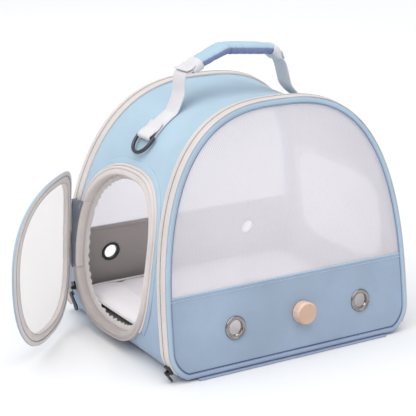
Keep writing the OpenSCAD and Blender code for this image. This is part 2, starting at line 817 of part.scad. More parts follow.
// Link from the slider's pin to the rivet of the door's pull tab
module link_bar() {
    bar_t = 1.2;
    translate([pin_x, 0, pin_z]) difference() {
        union() {
            pin_eye();
            translate([-bar_t / 2, -eye_w / 2, eye_r]) cube([bar_t, eye_w, link_len - eye_r]);
            translate([0, 0, link_len]) rotate([0, 90, 0])
                cylinder(h = bar_t, r = eye_r + eye_wall, center = true, $fn = 24);
        }
        translate([0, 0, link_len]) rotate([0, 90, 0]) cylinder(h = 4, r = eye_r, center = true, $fn = 24);
    }
}

// Pull tab that hangs straight down from a rivet through the link
module door_tab() {
    translate([pin_x, 0, pin_z + link_len]) {
        rotate([0, 90, 0]) cylinder(h = 2.4, r = pin_r, center = true, $fn = 24);
        translate([-1.5, 0, 0]) rotate([0, 90, 0]) cylinder(h = 0.5, r = eye_r + 0.5, $fn = 24);
        translate([0.6 + clear + plate_t / 2, 0, 0]) rotate([slider_turn, 0, 0]) {
            rotate([0, 90, 0]) cylinder(h = plate_t, r = pull_w / 2 - 0.5, center = true, $fn = 32);
            translate([0, 0, 1]) tab(door_pull_len - 1);
        }
    }
}

module front_slider() {
    color("black") front_slider_place() zip_slider();
}

module front_pull() {
    color("black") front_slider_place() zip_pull();
}

module back_slider() {
    color("black") back_slider_place() zip_slider();
}

module back_pull() {
    color("black") back_slider_place() zip_pull();
}

module door_slider() {
    color("black") door_slider_place() zip_slider();
}

module door_link() {
    color("silver") door_slider_place() link_bar();
}

module door_pull() {
    color("black") door_slider_place() door_tab();
}

// ---- handle

function end_slope(side) = atan((2 * grip_rise - side * grip_tilt) / grip_half);
function grip_end(side) = [side * grip_shift - grip_half, grip_end_z + side * grip_tilt];
fold_place = mid_out(fold_angle, lay + webbing_t);
handle_z = fold_place[1] + 1; // height of the line about which the handle tips
cap_w = webbing_w + 1;
cap_t = 0.7 * grip_t;

// A point of a cap or of the grip's end, drawn on the left, along its middle line and away from it
function end_point(side, slope, along, off) = grip_end(side)
    + [-along * cos(slope) - off * sin(slope), -along * sin(slope) + off * cos(slope)];
function cap_point(side, along, off) =
    end_point(side, side < 0 ? left_cap_slope : right_cap_slope, along, off);

// Outline of a strip of even thickness along a line of points
function unit(d) = d / norm(d);
function strip_side(p, k) = let (n = len(p) - 1, a = k > 0 ? unit(p[k] - p[k - 1]) : unit(p[1] - p[0]),
    b = k < n ? unit(p[k + 1] - p[k]) : a, d = unit(a + b)) [-d[1], d[0]];
function strip(p, h) = concat([for (k = [0:len(p) - 1]) p[k] + h * strip_side(p, k)],
    [for (k = [len(p) - 1:-1:0]) p[k] - h * strip_side(p, k)]);

// Padded grip: an arch that swells in the middle and draws in at its ends
module handle_grip() {
    rings = 16;
    sides = 20;
    function share(k) = 2 * k / rings - 1;
    function swell(u) = 0.82 + 0.18 * pow(1 - u * u, 0.6);
    function middle(u) = [grip_half * u - grip_shift, grip_end_z + grip_rise * (1 - u * u) + grip_tilt * u];
    function lean(u) = atan((grip_tilt - 2 * grip_rise * u) / grip_half);
    points = [for (k = [0:rings]) let (u = share(k), m = middle(u), a = lean(u)) each
        [for (q = [0:sides - 1]) let (t = 360 * q / sides, w = grip_w / 2 * swell(u) * spow(cos(t), 0.8),
            h = grip_t / 2 * swell(u) * spow(sin(t), 0.8)) [m[0] - h * sin(a), handle_y + w, m[1] + h * cos(a)]]];
    faces = concat(
        [for (k = [0:rings - 1]) for (q = [0:sides - 1])
            let (a = k * sides + q, b = k * sides + (q + 1) % sides, c = a + sides, d = b + sides)
            each [[a, b, c], [b, d, c]]],
        [[for (q = [sides - 1:-1:0]) q]], [[for (q = [0:sides - 1]) rings * sides + q]]);
    color("lightblue") polyhedron(points, [for (f = faces) [for (k = [len(f) - 1:-1:0]) f[k]]], convexity = 4);
}

module handle_cap(side) {
    bevel = 1.5;
    mirror([side > 0 ? 1 : 0, 0, 0]) along_y(handle_y - cap_w / 2, handle_y + cap_w / 2)
        polygon(concat(
            [for (off = [-cap_t / 2, cap_t / 2]) end_point(side, end_slope(side), seat, off)],
            [for (p = [[cap_len - bevel, cap_t / 2], [cap_len, cap_t / 2 - bevel],
                       [cap_len, bevel - cap_t / 2], [cap_len - bevel, -cap_t / 2]])
                cap_point(side, p[0], p[1])]));
}

// Webbing from under the cap down to the shoulder; its foot narrows so that it can tip
module handle_strap(side) {
    under = -cap_t / 2 - seat - webbing_t / 2;
    foot = [fold_place[0], handle_z];
    line = [cap_point(side, cap_len / 2, under), cap_point(side, cap_len - 2, under), foot];
    foot_w = 2; // width of the strap's foot
    taper_h = 36; // height at which the strap has its full width
    half = webbing_w / 2;
    mirror([side > 0 ? 1 : 0, 0, 0]) intersection() {
        along_y(handle_y - half, handle_y + half) polygon(strip(line, webbing_t / 2));
        along_x(-body_w, body_w) translate([handle_y, handle_z])
            polygon([[-foot_w / 2, -1], [foot_w / 2, -1], [half, taper_h], [half, 2 * taper_h],
                     [-half, 2 * taper_h], [-half, taper_h]]);
    }
}

module left_handle_cap() {
    color("white") handle_cap(-1);
}

module right_handle_cap() {
    color("white") handle_cap(1);
}

module left_handle_strap() {
    color("white") handle_strap(-1);
}

module right_handle_strap() {
    color("white") handle_strap(1);
}

shell_wrap();
shell_lining();
base_pad();
base_board();
hinge_strip(true);  // front_hinge_strip
hinge_strip(false);  // back_hinge_strip
front_zip_tape();
back_zip_tape();
front_stay();
back_stay();
door_frame();
door_zip_tape();
door_hinge_piping();
side_window_mesh();
side_window_binding();
left_side_strap();
right_side_strap();
front_border();
front_band();
front_mesh();
front_panel_tape();
front_eyelets();
perch();
perch_bolt();
front_knob();
back_border();
back_band();
back_mesh();
back_panel_tape();
back_eyelets();
door_rim();
door_cover();
door_mesh();
door_slider();
door_link();
door_pull();
front_slider();
front_pull();
back_slider();
back_pull();
handle_grip();
left_handle_cap();
right_handle_cap();
left_handle_strap();
right_handle_strap();
left_d_ring();
right_d_ring();
floor_mat();
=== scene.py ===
import json
import math

import bmesh
import bpy
import numpy as np
from mathutils import Matrix, Vector, noise

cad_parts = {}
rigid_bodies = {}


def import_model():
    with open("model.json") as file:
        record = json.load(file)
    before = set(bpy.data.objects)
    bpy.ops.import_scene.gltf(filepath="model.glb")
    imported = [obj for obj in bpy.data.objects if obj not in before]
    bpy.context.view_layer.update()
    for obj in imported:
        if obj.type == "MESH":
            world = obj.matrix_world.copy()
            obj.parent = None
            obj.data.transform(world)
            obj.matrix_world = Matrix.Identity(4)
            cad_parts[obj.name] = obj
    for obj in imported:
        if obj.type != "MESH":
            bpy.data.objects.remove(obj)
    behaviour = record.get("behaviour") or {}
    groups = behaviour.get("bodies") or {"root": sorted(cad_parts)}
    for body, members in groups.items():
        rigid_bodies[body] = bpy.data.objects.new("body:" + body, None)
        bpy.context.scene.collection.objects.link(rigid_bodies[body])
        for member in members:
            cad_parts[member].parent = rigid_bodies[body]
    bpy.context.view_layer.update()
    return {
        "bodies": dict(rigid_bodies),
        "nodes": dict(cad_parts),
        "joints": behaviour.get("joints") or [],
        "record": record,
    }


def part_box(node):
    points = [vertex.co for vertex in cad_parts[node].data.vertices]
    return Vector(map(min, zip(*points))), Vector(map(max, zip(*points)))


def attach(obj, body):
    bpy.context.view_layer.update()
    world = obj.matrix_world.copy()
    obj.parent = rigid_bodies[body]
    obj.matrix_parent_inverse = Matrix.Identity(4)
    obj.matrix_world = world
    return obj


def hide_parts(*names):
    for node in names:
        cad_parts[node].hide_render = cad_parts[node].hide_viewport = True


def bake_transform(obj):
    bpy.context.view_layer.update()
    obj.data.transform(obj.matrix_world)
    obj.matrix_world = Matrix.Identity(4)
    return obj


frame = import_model()
cadNodes = frame["nodes"]
print("frame loaded:", len(cadNodes), "nodes")

mm = 0.001  # every length below is in millimetres, and a mesh is made in metres


def jointPlace(name):
    found = [joint for joint in frame["joints"] if joint["name"] == name][0]
    return Vector(found["pos_m"]) / mm


def linked(name, data):
    # a new object in the scene for a mesh, lamp or camera
    made = bpy.data.objects.new(name, data)
    bpy.context.scene.collection.objects.link(made)
    return made


wrapLow, wrapHigh = [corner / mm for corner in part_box("shell_wrap")]
body = dict(
    halfWidth=(wrapHigh.x - wrapLow.x) / 2,
    height=wrapHigh.z,
    cornerRadius=33,
    archPower=2.7,
    halfDepth=128,
    frontLean=36,  # how far the top of each face leans in
    backLean=50,
    topSag=7,
    sideSag=3,
    edge=9.6,  # depth of the wrap's edge behind a face
    zipFoot=10,
)
front, back = -1, 1

# ---- camera, lights and floor

shot = dict(
    place=(-779.8, -1241.9, 560.4),
    target=(-30.3, 1.0, 135.9),
    focal=1390.94,  # in pixels of the photograph's 416
    picture=416,
    sensor=36,
)


def makeCamera():
    data = bpy.data.cameras.new("camera")
    data.sensor_width = shot["sensor"]
    data.lens = shot["focal"] / shot["picture"] * shot["sensor"]
    data.clip_start, data.clip_end = 0.01, 50
    camera = linked("camera", data)
    place, target = Vector(shot["place"]) * mm, Vector(shot["target"]) * mm
    camera.location = place
    camera.rotation_mode = "QUATERNION"
    camera.rotation_quaternion = (target - place).to_track_quat("-Z", "Y")
    bpy.context.scene.camera = camera


studio = dict(
    world=0.56,
    sun=(2.0, 75, (-0.32, -0.18, 1.0)),  # strength, angular size in degrees, where it comes from
    lamps=(  # name, place, size, watts, colour
        ("left", (-1700, -300, 1300), 1000, 2.2, (0.93, 0.96, 1.0)),
        ("right", (1300, -1700, 1000), 1000, 3.2, (1.0, 0.98, 0.96)),
        ("behind", (200, 1900, 1200), 1200, 3.0, (1.0, 1.0, 1.0)),
    ),
    aim=(0, 0, 130),  # where the three lamps point
    inside=(0.23, 45, (0, 15, 170)),  # watts, size and place of the lamp that fills the inside
    sky=(0.95, 0.97, 1.0, 1),
    floorTone=0.86,
    floorRadius=14,  # in metres
)


def makeLamp(name, kind, place, **settings):
    data = bpy.data.lights.new(name, kind)
    for key, value in settings.items():
        setattr(data, key, value)
    lamp = linked(name, data)
    lamp.location = Vector(place) * mm
    return lamp


def makeStudio():
    scene = bpy.context.scene
    scene.world = bpy.data.worlds.new("studio")
    scene.world.use_nodes = True
    background = scene.world.node_tree.nodes["Background"]
    background.inputs["Color"].default_value = studio["sky"]
    background.inputs["Strength"].default_value = studio["world"]
    strength, angle, source = studio["sun"]
    sun = makeLamp("sun", "SUN", (0, 0, 0), energy=strength, angle=math.radians(angle))
    sun.rotation_euler = Vector(source).to_track_quat("Z", "Y").to_euler()
    for name, place, size, watts, colour in studio["lamps"]:
        lamp = makeLamp(name + "Lamp", "AREA", place, size=size * mm, energy=watts, color=colour)
        lamp.rotation_euler = (Vector(studio["aim"]) - Vector(place)).to_track_quat("-Z", "Y").to_euler()
    watts, size, place = studio["inside"]
    lamp = makeLamp("insideLamp", "POINT", place, energy=watts, shadow_soft_size=size * mm)
    lamp.visible_camera = False
    mesh = bpy.data.meshes.new("studioFloor")
    builder = bmesh.new()
    bmesh.ops.create_circle(builder, cap_ends=True, segments=96, radius=studio["floorRadius"])
    builder.to_mesh(mesh)
    builder.free()
    floor = linked("studioFloor", mesh)
    finish = bpy.data.materials.new("studioFloor")
    finish.use_nodes = True
    shader = finish.node_tree.nodes["Principled BSDF"]
    shader.inputs["Base Color"].default_value = (studio["floorTone"],) * 3 + (1,)
    shader.inputs["Roughness"].default_value = 0.9
    mesh.materials.append(finish)
    scene.view_settings.view_transform = "Standard"


makeCamera()
makeStudio()
print("camera and studio ready")

# ---- shader maths


def mathStep(operation):
    return lambda self, *others: self.finish.node("ShaderNodeMath", {"operation": operation}, self, *others)


class Value:
    # a socket that can be added, multiplied and so on; each step adds a Math node
    __add__ = __radd__ = mathStep("ADD")
    __mul__ = __rmul__ = mathStep("MULTIPLY")
    __sub__, __truediv__, __abs__ = mathStep("SUBTRACT"), mathStep("DIVIDE"), mathStep("ABSOLUTE")
    sine, root, pingPong = mathStep("SINE"), mathStep("SQRT"), mathStep("PINGPONG")

    def __init__(self, finish, socket):
        self.finish, self.socket = finish, socket

    def __rsub__(self, other):
        return self.finish.node("ShaderNodeMath", {"operation": "SUBTRACT"}, other, self)

    def within(self, low, high):  # a soft step from 0 at low to 1 at high
        settings = {"interpolation_type": "SMOOTHSTEP"}
        return self.finish.node("ShaderNodeMapRange", settings, self, low, high, 0.0, 1.0)


class Finish:
    # one material: its shader's own sockets hold what is the same all over
    def __init__(self, name, **sockets):
        self.material = bpy.data.materials.new(name)
        self.material.use_nodes = True
        self.tree = self.material.node_tree
        self.shader = self.tree.nodes["Principled BSDF"]
        for socket, value in sockets.items():
            self.shader.inputs[socket.replace("_", " ")].default_value = value

    def node(self, kind, settings=None, *values, out=0, **named):
        # any shader node: its settings, then its inputs by place or by name
        made = self.tree.nodes.new(kind)
        for key, value in (settings or {}).items():
            setattr(made, key, value)
        for key, value in list(enumerate(values)) + list(named.items()):
            if isinstance(value, Value):
                self.tree.links.new(value.socket, made.inputs[key])
            else:
                made.inputs[key].default_value = value
        return Value(self, made.outputs[out])

    def feed(self, socket, value):
        self.tree.links.new(value.socket, self.shader.inputs[socket])

    def parts(self, vector):
        split = self.tree.nodes.new("ShaderNodeSeparateXYZ")
        self.tree.links.new(vector.socket, split.inputs[0])
        return [Value(self, socket) for socket in split.outputs]

    def coordinates(self, kind):
        # the piece's own map or place, in millimetres
        source = self.node("ShaderNodeTexCoord", out=kind)
        scaled = self.node("ShaderNodeVectorMath", {"operation": "SCALE"}, source, Scale=1 / mm)
        return scaled, self.parts(scaled)

    def cloud(self, vector, scale, detail=3.0):
        return self.node(
            "ShaderNodeTexNoise", None, Vector=vector, Scale=scale, Detail=detail, Roughness=0.55)

    def patches(self, scale, detail):
        # soft noise through the piece, at a scale per metre
        return self.cloud(self.node("ShaderNodeTexCoord", out="Object"), scale, detail)

    def paintedShadeLow(self, result, share, deep, foot):
        # painted shade: a deeper tone low down, between two heights, where less light reaches the piece
        start, end, other = foot
        rise = self.coordinates("Object")[1][2]
        return self.mix(rise.within(start, end), self.mix(share, shade(other, deep), other), result)

    def mix(self, share, one, two):
        made = self.tree.nodes.new("ShaderNodeMix")
        made.data_type = "RGBA"
        for index, value in ((0, share), (6, one), (7, two)):
            if isinstance(value, Value):
                self.tree.links.new(value.socket, made.inputs[index])
            else:
                made.inputs[index].default_value = tuple(value) + (1,) if index else value
        return Value(self, made.outputs[2])

    def bump(self, height, distance, strength=1.0):
        distance = distance * mm
        self.feed("Normal", self.node("ShaderNodeBump", Height=height, Distance=distance, Strength=strength))


def tone(red, green, blue):
    # a colour given as on a screen, from 0 to 255, as the shader wants it
    def linear(value):
        share = value / 255
        return share / 12.92 if share <= 0.04045 else ((share + 0.055) / 1.055) ** 2.4

    return tuple(linear(value) for value in (red, green, blue))


def shade(colour, factor):
    return tuple(min(1.0, part * factor) for part in colour)


# ---- materials

turn = 2 * math.pi


def wovenFinish(name, colour, pitch=1.0, depth=0.06, mottle=0.05, deep=0.72, sheen=0.25, diagonal=False,
                shadeAcross=None, foot=None):
    # plain or twill weave that follows the piece's own map, in millimetres; it can carry painted shade low
    # down and across its map
    finish = Finish(name, Roughness=0.82, Sheen_Weight=sheen, Sheen_Roughness=0.4)
    mapped, (along, across, _) = finish.coordinates("UV")
    if diagonal:
        along = along + across * 0.5
    threads = (along * (turn / pitch)).sine() * (across * (turn / pitch)).sine()
    height = threads * 0.5 + 0.5
    slubs = finish.cloud(mapped, 0.9, 2.0)
    share = (height * 0.45 + slubs * 0.35 + (finish.patches(14.0, 4.0) - 0.5) * mottle * 12).within(0.0, 1.0)
    result = finish.mix(share, shade(colour, deep), shade(colour, 1.06))
    # painted shade low down, when a foot is given
    if foot:
        result = finish.paintedShadeLow(result, share, deep, foot)
    if shadeAcross:  # painted shade: another, darker tone between two places across the map
        start, end, other = shadeAcross
        shadeMask = across.within(start, start + 2.0) * (1 - across.within(end - 2.0, end))
        result = finish.mix(shadeMask, result, finish.mix(share, shade(other, deep), shade(other, 1.06)))
    finish.feed("Base Color", result)
    finish.bump(height + slubs * 0.5, depth)
    return finish.material


def ribbedFinish(name, colour, pitch=1.3, chevron=3.0, depth=0.12, deep=0.78, soil=0.06, foot=None):
    # tape or webbing: slanting ribs that turn back at the middle of each row; a foot paints shade low down
    finish = Finish(name, Roughness=0.78, Sheen_Weight=0.2, Sheen_Roughness=0.5)
    _, (along, across, _) = finish.coordinates("UV")
    rows = across.pingPong(chevron)
    ribs = ((along + rows * 0.8) * (turn / pitch)).sine() * 0.5 + 0.5
    edges = (rows / chevron).within(0.0, 0.25)
    patches = finish.patches(30.0, 4.0)
    height = ribs * 0.8 + edges * 0.2
    share = (height * 0.7 + patches * 0.3 + (patches - 0.5) * soil * 8).within(0.0, 1.0)
    result = finish.mix(share, shade(colour, deep), shade(colour, 1.05))
    # painted shade low down, when a foot is given
    finish.feed("Base Color", finish.paintedShadeLow(result, share, deep, foot) if foot else result)
    finish.bump(height, depth)
    return finish.material


def netFinish(name, colour, pitch, clearest=0.5, glow=0.45, veil=0.0):
    # fine net: slanting threads with see-through gaps, lit through from behind
    finish = Finish(name, Roughness=0.7, Sheen_Weight=0.15)
    _, (along, across, _) = finish.coordinates("UV")
    rise = ((along + across) * (turn / 2 / pitch)).sine()
    fall = ((along - across) * (turn / 2 / pitch)).sine()
    gap = abs(rise * fall).within(0.1, 0.62)
    finish.feed("Base Color", finish.mix(finish.patches(18.0, 3.0), shade(colour, 0.92), shade(colour, 1.04)))
    finish.bump(1 - gap, 0.08)
    through = finish.node("ShaderNodeBsdfTranslucent", Color=tuple(colour) + (1,))
    lit = finish.node("ShaderNodeMixShader", None, glow, Value(finish, finish.shader.outputs[0]), through)
    clear = finish.node("ShaderNodeBsdfTransparent")
    holed = finish.node("ShaderNodeMixShader", None, gap * clearest + veil, lit, clear)
    finish.tree.links.new(holed.socket, finish.tree.nodes["Material Output"].inputs["Surface"])
    return finish.material


def metalFinish(name, colour, rough=0.22, wear=0.25, coat=0.0, metallic=1.0):
    finish = Finish(name, Metallic=metallic, Coat_Weight=coat)
    smears = finish.patches(220.0, 4.0)
    scuffs = finish.patches(900.0, 2.0).within(0.55, 0.75)
    finish.feed("Roughness", smears * wear + rough + scuffs * 0.08)
    finish.feed("Base Color", finish.mix(scuffs * 0.5, colour, shade(colour, 0.72)))
    finish.bump(smears, 0.02, 0.5)
    return finish.material


def mouldedFinish(name, colour):
    finish = Finish(name)
    patches = finish.patches(120.0, 3.0)
    finish.feed("Roughness", patches * 0.2 + 0.32)
    finish.feed("Base Color", finish.mix(patches, shade(colour, 0.7), shade(colour, 1.5)))
    finish.bump(finish.patches(1600.0, 2.0), 0.02)
    return finish.material


def woodFinish(name, pale, dark):
    # turned pale wood with rings round the perch's axis and long pores; the knob's paler rim is a painted
    # highlight for light falling on its side
    finish = Finish(name, Coat_Weight=0.08, Coat_Roughness=0.4)
    low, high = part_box("perch")
    middle = (low + high) / 2
    source = finish.node("ShaderNodeTexCoord", out="Object")
    moved = finish.node("ShaderNodeMapping", None, source, -Vector((middle.x + 0.006, 0, middle.z - 0.011)))
    stretched = finish.node("ShaderNodeVectorMath", {"operation": "MULTIPLY"}, moved, (1.0, 0.12, 1.0))
    wobble = finish.cloud(stretched, 90.0)
    x, _, z = finish.parts(stretched)
    rings = (((x * x + z * z).root() / mm + wobble * 2.2) * (turn / 2.1)).sine() * 0.5 + 0.5
    pores = finish.cloud(stretched, 1500.0, 2.0).within(0.58, 0.72)
    share = (rings * 0.3 + wobble * 0.6).within(0.1, 1.0)
    grain = finish.mix(pores * 0.3, finish.mix(share, pale, dark), shade(dark, 0.6))
    # painted highlight: the knob's rim, its side, made paler where light falls on it
    _, (x, _, z) = finish.coordinates("Object")
    x, z = x - middle.x / mm, z - middle.z / mm
    rim = (x * x + z * z).within(118.0, 150.0)
    finish.feed("Base Color", finish.mix(rim, grain, finish.mix(share, shade(pale, 1.35), shade(pale, 1.1))))
    finish.feed("Roughness", rings * 0.1 + 0.48)
    finish.bump(rings * 0.3 + pores, 0.03)
    return finish.material


def plainFinish(name, colour, rough=0.7, scale=300.0):
    finish = Finish(name)
    grain = finish.patches(scale, 4.0)
    finish.feed("Roughness", grain * 0.2 + rough - 0.1)
    finish.feed("Base Color", finish.mix(grain, shade(colour, 0.85), shade(colour, 1.1)))
    finish.bump(grain, 0.05)
    return finish.material


tones = dict(
    blue=tone(188, 215, 232),
    # painted shade: deeper blue low on the wrap, where less light reaches
    lowBlueShade=tone(160, 180, 208),
    borderBlue=tone(184, 208, 228),
    # painted shade: deeper blue low on the border, where less light reaches
    lowBorderShade=tone(156, 170, 202),
    bandBlue=tone(172, 191, 214),
    gripBlue=tone(190, 219, 236),
    # painted shade: the grip's lower half, shaded under the light from above
    gripShade=tone(138, 146, 188),
    # painted shade: the hinge's blue fabric, darkened and greyed for the shade in the gap between frame and
    # leaf
    hingeShadedBlue=tone(140, 148, 162),
    # painted shade: deep indigo low on the seam cord
    lowCordShade=tone(84, 90, 138),
    cord=tone(142, 156, 184),
    lining=tone(184, 181, 182),
    backBand=tone(170, 163, 160),
    tape=tone(224, 215, 211),
    # painted shade: deeper beige low on the door frame
    lowTapeShade=tone(184, 174, 171),
    frill=tone(226, 221, 218),
    webbing=tone(234, 232, 234),
    net=tone(243, 240, 246),
    leafNet=tone(252, 246, 242),
    mat=tone(247, 243, 244),
    thread=tone(206, 221, 234),
)
looks = dict(
    # the wrap gets painted shade low down, fading out by 190 mm high
    blue=wovenFinish("bluePolyester", tones["blue"], foot=(-30, 190, tones["lowBlueShade"])),
    # the border gets painted shade low down, fading out by 26 mm high
    border=wovenFinish("borderPolyester", tones["borderBlue"], sheen=0.35, foot=(-8, 26, tones["lowBorderShade"])),
    band=wovenFinish("bandCanvas", tones["bandBlue"], 0.9, 0.08, 0.06, 0.66, 0.15, True),
    # the grip's lower half across its map gets painted shade
    grip=wovenFinish("gripPolyester", tones["gripBlue"], shadeAcross=(27.0, 60.0, tones["gripShade"])),
    # the hinge pieces' blue fabric carries painted shade
    hinge=wovenFinish("hingeShadedPolyester", tones["hingeShadedBlue"]),
    # the seam cord gets painted shade low down, fading out by 34 mm high
    seam=wovenFinish("seamCord", tones["cord"], 0.8, foot=(14, 34, tones["lowCordShade"])),
    groove=plainFinish("grooveThread", tone(150, 142, 152), 0.8, 900.0),
    lining=wovenFinish("lining", tones["lining"], 0.7, 0.04, 0.05, 0.8, 0.1),
    backBand=wovenFinish("backCanvas", tones["backBand"], 0.9, 0.08, 0.06, 0.75, 0.1, True),
    tape=ribbedFinish("zipTape", tones["tape"]),
    # the door frame gets painted shade low down, fading out by 105 mm high
    frameTape=ribbedFinish("frameTape", tones["tape"], foot=(0, 105, tones["lowTapeShade"])),
    frill=wovenFinish("frill", tones["frill"], 0.8),
    webbing=ribbedFinish("webbing", tones["webbing"], 1.8, 3.1, 0.25, 0.74, 0.04),
    net=netFinish("whiteNet", tones["net"], 2.3, 0.17, 0.35, 0.11),
    fineNet=netFinish("fineNet", tones["net"], 1.1, 0.42, 0.45),
    leafNet=netFinish("leafNet", tones["leafNet"], 1.1, 0.42, 0.45, 0.2),
    mat=wovenFinish("matCloth", tones["mat"], 0.8, 0.05, 0.06, 0.9, 0.2),
    thread=plainFinish("thread", tones["thread"], 0.8, 1500.0),
    paleThread=plainFinish("paleThread", tones["webbing"], 0.8, 1500.0),
    coil=plainFinish("zipCoil", shade(tones["tape"], 0.55), 0.6, 900.0),
    nickel=metalFinish("nickel", (0.31, 0.295, 0.285), 0.1, 0.12),
    blackRing=metalFinish("blackEnamel", (0.022, 0.022, 0.025), 0.32, 0.2, 0.25, 0.3),
    gunmetal=metalFinish("gunmetal", (0.10, 0.10, 0.12), 0.26, 0.2, 0.0, 1.0),
    steel=metalFinish("springSteel", (0.5, 0.5, 0.52), 0.3),
    black=mouldedFinish("blackPull", (0.014, 0.014, 0.016)),
    wood=woodFinish("paleWood", tone(216, 184, 164), tone(194, 154, 134)),
    board=plainFinish("pressedBoard", tone(120, 118, 116), 0.8),
    pad=wovenFinish("padCloth", tone(78, 76, 78), 0.8),
)
print("materials ready:", len(looks))

# ---- meshes from rows of points


def bulge(value, power):
    # a sine or cosine bent towards a squarer or a rounder corner
    return math.copysign(abs(value) ** power, value)


def around(count):
    # cosine and sine at even steps round a circle
    return [(math.cos(turn * k / count), math.sin(turn * k / count)) for k in range(count)]


def lengthsAlong(points):
    # how far along a line each of its points lies
    return np.concatenate([[0], np.cumsum(np.linalg.norm(np.diff(points, axis=0), axis=1))])


def smoothLine(points, count):
    # an even curve through the points
    points = np.asarray(points, float)
    padded = np.concatenate([[2 * points[0] - points[1]], points, [2 * points[-1] - points[-2]]])
    dense = []
    for k in range(len(points) - 1):
        p, q, r, s = padded[k:k + 4]
        for t in np.linspace(0, 1, 24, endpoint=False):
            dense.append(0.5 * (2 * q + (r - p) * t + (2 * p - 5 * q + 4 * r - s) * t * t
                                + (3 * q - p - 3 * r + s) * t ** 3))
    dense = np.array(dense + [points[-1]])
    lengths = lengthsAlong(dense)
    even = np.linspace(0, lengths[-1], count)
    return np.stack([np.interp(even, lengths, dense[:, axis]) for axis in range(points.shape[1])], 1)


def headings(path):
    ways = np.gradient(path, axis=0)
    return ways / np.linalg.norm(ways, axis=1)[:, None]


def smoothed(piece):
    piece.data.polygons.foreach_set("use_smooth", [True] * len(piece.data.polygons))
    return piece


def meshPiece(name, points, faces, look, uvs):
    mesh = bpy.data.meshes.new(name)
    mesh.from_pydata((np.asarray(points, float) * mm).tolist(), [], [list(face) for face in faces])
    flat = np.concatenate([np.asarray(corner, float) for corner in uvs]).reshape(-1) * mm
    mesh.uv_layers.new(name="map").data.foreach_set("uv", flat)
    mesh.materials.append(looks[look])
    return smoothed(linked(name, mesh))


def rowLengths(rows):
    steps = np.linalg.norm(np.diff(rows, axis=0), axis=2).mean(axis=1)
    return np.concatenate([[0], np.cumsum(steps)])


def gridPiece(name, rows, look, loopAlong=False, loopAcross=False, keep=None, caps=False, mapTurn=False):
    # rows[i][j] is a point; the map runs in millimetres along i and across j
    rows = np.asarray(rows, float)
    n, m = rows.shape[:2]
    along = rowLengths(np.concatenate([rows, rows[:1]]) if loopAlong else rows)
    turned = rows.transpose(1, 0, 2)
    across = rowLengths(np.concatenate([turned, turned[:1]]) if loopAcross else turned)
    faces, uvs = [], []
    for i in range(n if loopAlong else n - 1):
        for j in range(m if loopAcross else m - 1):
            k, l = (i + 1) % n, (j + 1) % m
            if keep is not None and not keep[i][j]:
                continue
            faces.append((i * m + j, k * m + j, k * m + l, i * m + l))
            corners = [(along[i], across[j]), (along[i + 1], across[j]),
                       (along[i + 1], across[j + 1]), (along[i], across[j + 1])]
            uvs.append([(v, u) for u, v in corners] if mapTurn else corners)
    if caps:
        for i, reverse in ((0, False), (n - 1, True)):
            ring = [i * m + j for j in range(m)]
            faces.append(ring[::-1] if reverse else ring)
            middle = rows[i].mean(axis=0)
            flat = [tuple((rows[i][j] - middle)[:2]) for j in range(m)]
            uvs.append(flat[::-1] if reverse else flat)
    piece = meshPiece(name, rows.reshape(-1, 3), faces, look, uvs)
    turnOut(piece)
    return piece


def turnOut(piece):
    # closed shapes get their faces turned outwards
    builder = bmesh.new()
    builder.from_mesh(piece.data)
    loose = [vert for vert in builder.verts if not vert.link_faces]
    bmesh.ops.delete(builder, geom=loose, context="VERTS")
    bmesh.ops.recalc_face_normals(builder, faces=builder.faces)
    builder.to_mesh(piece.data)
    builder.free()


def applied(piece):
    # a piece with its modifiers made real
    graph = bpy.context.evaluated_depsgraph_get()
    mesh = bpy.data.meshes.new_from_object(piece.evaluated_get(graph))
    piece.modifiers.clear()
    piece.data = mesh
    return piece


def settle(piece, bodyName, slotName, *replaced):
    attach(piece, bodyName)
    if replaced:
        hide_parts(*replaced)
    return piece


def ripple(point, size, seed=0.0):
    # a smooth random value from about -1 to 1
    return noise.noise(Vector(point) / size + Vector((seed, seed * 2, -seed)))


# ---- the body's surface

def halfOutline(inset, sink):
    radius = body["cornerRadius"]
    middle = body["halfWidth"] - radius
    drawn = body["sideSag"] * sink
    a = body["halfWidth"] - inset - drawn
    b = body["height"] - radius - inset - body["topSag"] * sink
    flat = np.linspace(0, middle, 60, endpoint=False)
    turned = np.radians(np.linspace(-90, 0, 40, endpoint=False))
    arch = np.radians(np.linspace(0, 90, 400))
    power = 2 / body["archPower"]
    x = [flat, middle + (radius - inset - drawn) * np.cos(turned), a * np.abs(np.cos(arch)) ** power]
    z = [flat * 0 + inset, radius + (radius - inset) * np.sin(turned),
         radius + b * np.abs(np.sin(arch)) ** power]
    return np.stack([np.concatenate(x), np.concatenate(z)], 1)


def wholeOutline(inset=0.0, sink=0.0):
    half = halfOutline(inset, sink)
    return np.concatenate([half, half[::-1][1:-1] * (-1, 1)])


def evenPlaces(outline, count):
    closed = np.concatenate([outline, outline[:1]])
    lengths = lengthsAlong(closed)
    return np.interp(np.linspace(0, lengths[-1], count, endpoint=False), lengths, np.arange(len(closed)))


def sampled(outline, places):
    closed = np.concatenate([outline, outline[:1]])
    index = np.arange(len(closed))
    return np.stack([np.interp(places, index, closed[:, axis]) for axis in (0, 1)], 1)


ringCount = 420
places = evenPlaces(wholeOutline(), ringCount)
ring = sampled(wholeOutline(), places)  # x and z round the body, from the middle of its base
sunkRing = sampled(wholeOutline(0, 1), places)
tangent = np.roll(ring, -1, 0) - np.roll(ring, 1, 0)
tangent /= np.linalg.norm(tangent, axis=1)[:, None]
outward = np.stack([tangent[:, 1], -tangent[:, 0]], 1)


def facePlane(side, z):
    lean = body["frontLean"] if side == front else body["backLean"]
    return side * (body["halfDepth"] - lean * z / body["height"])


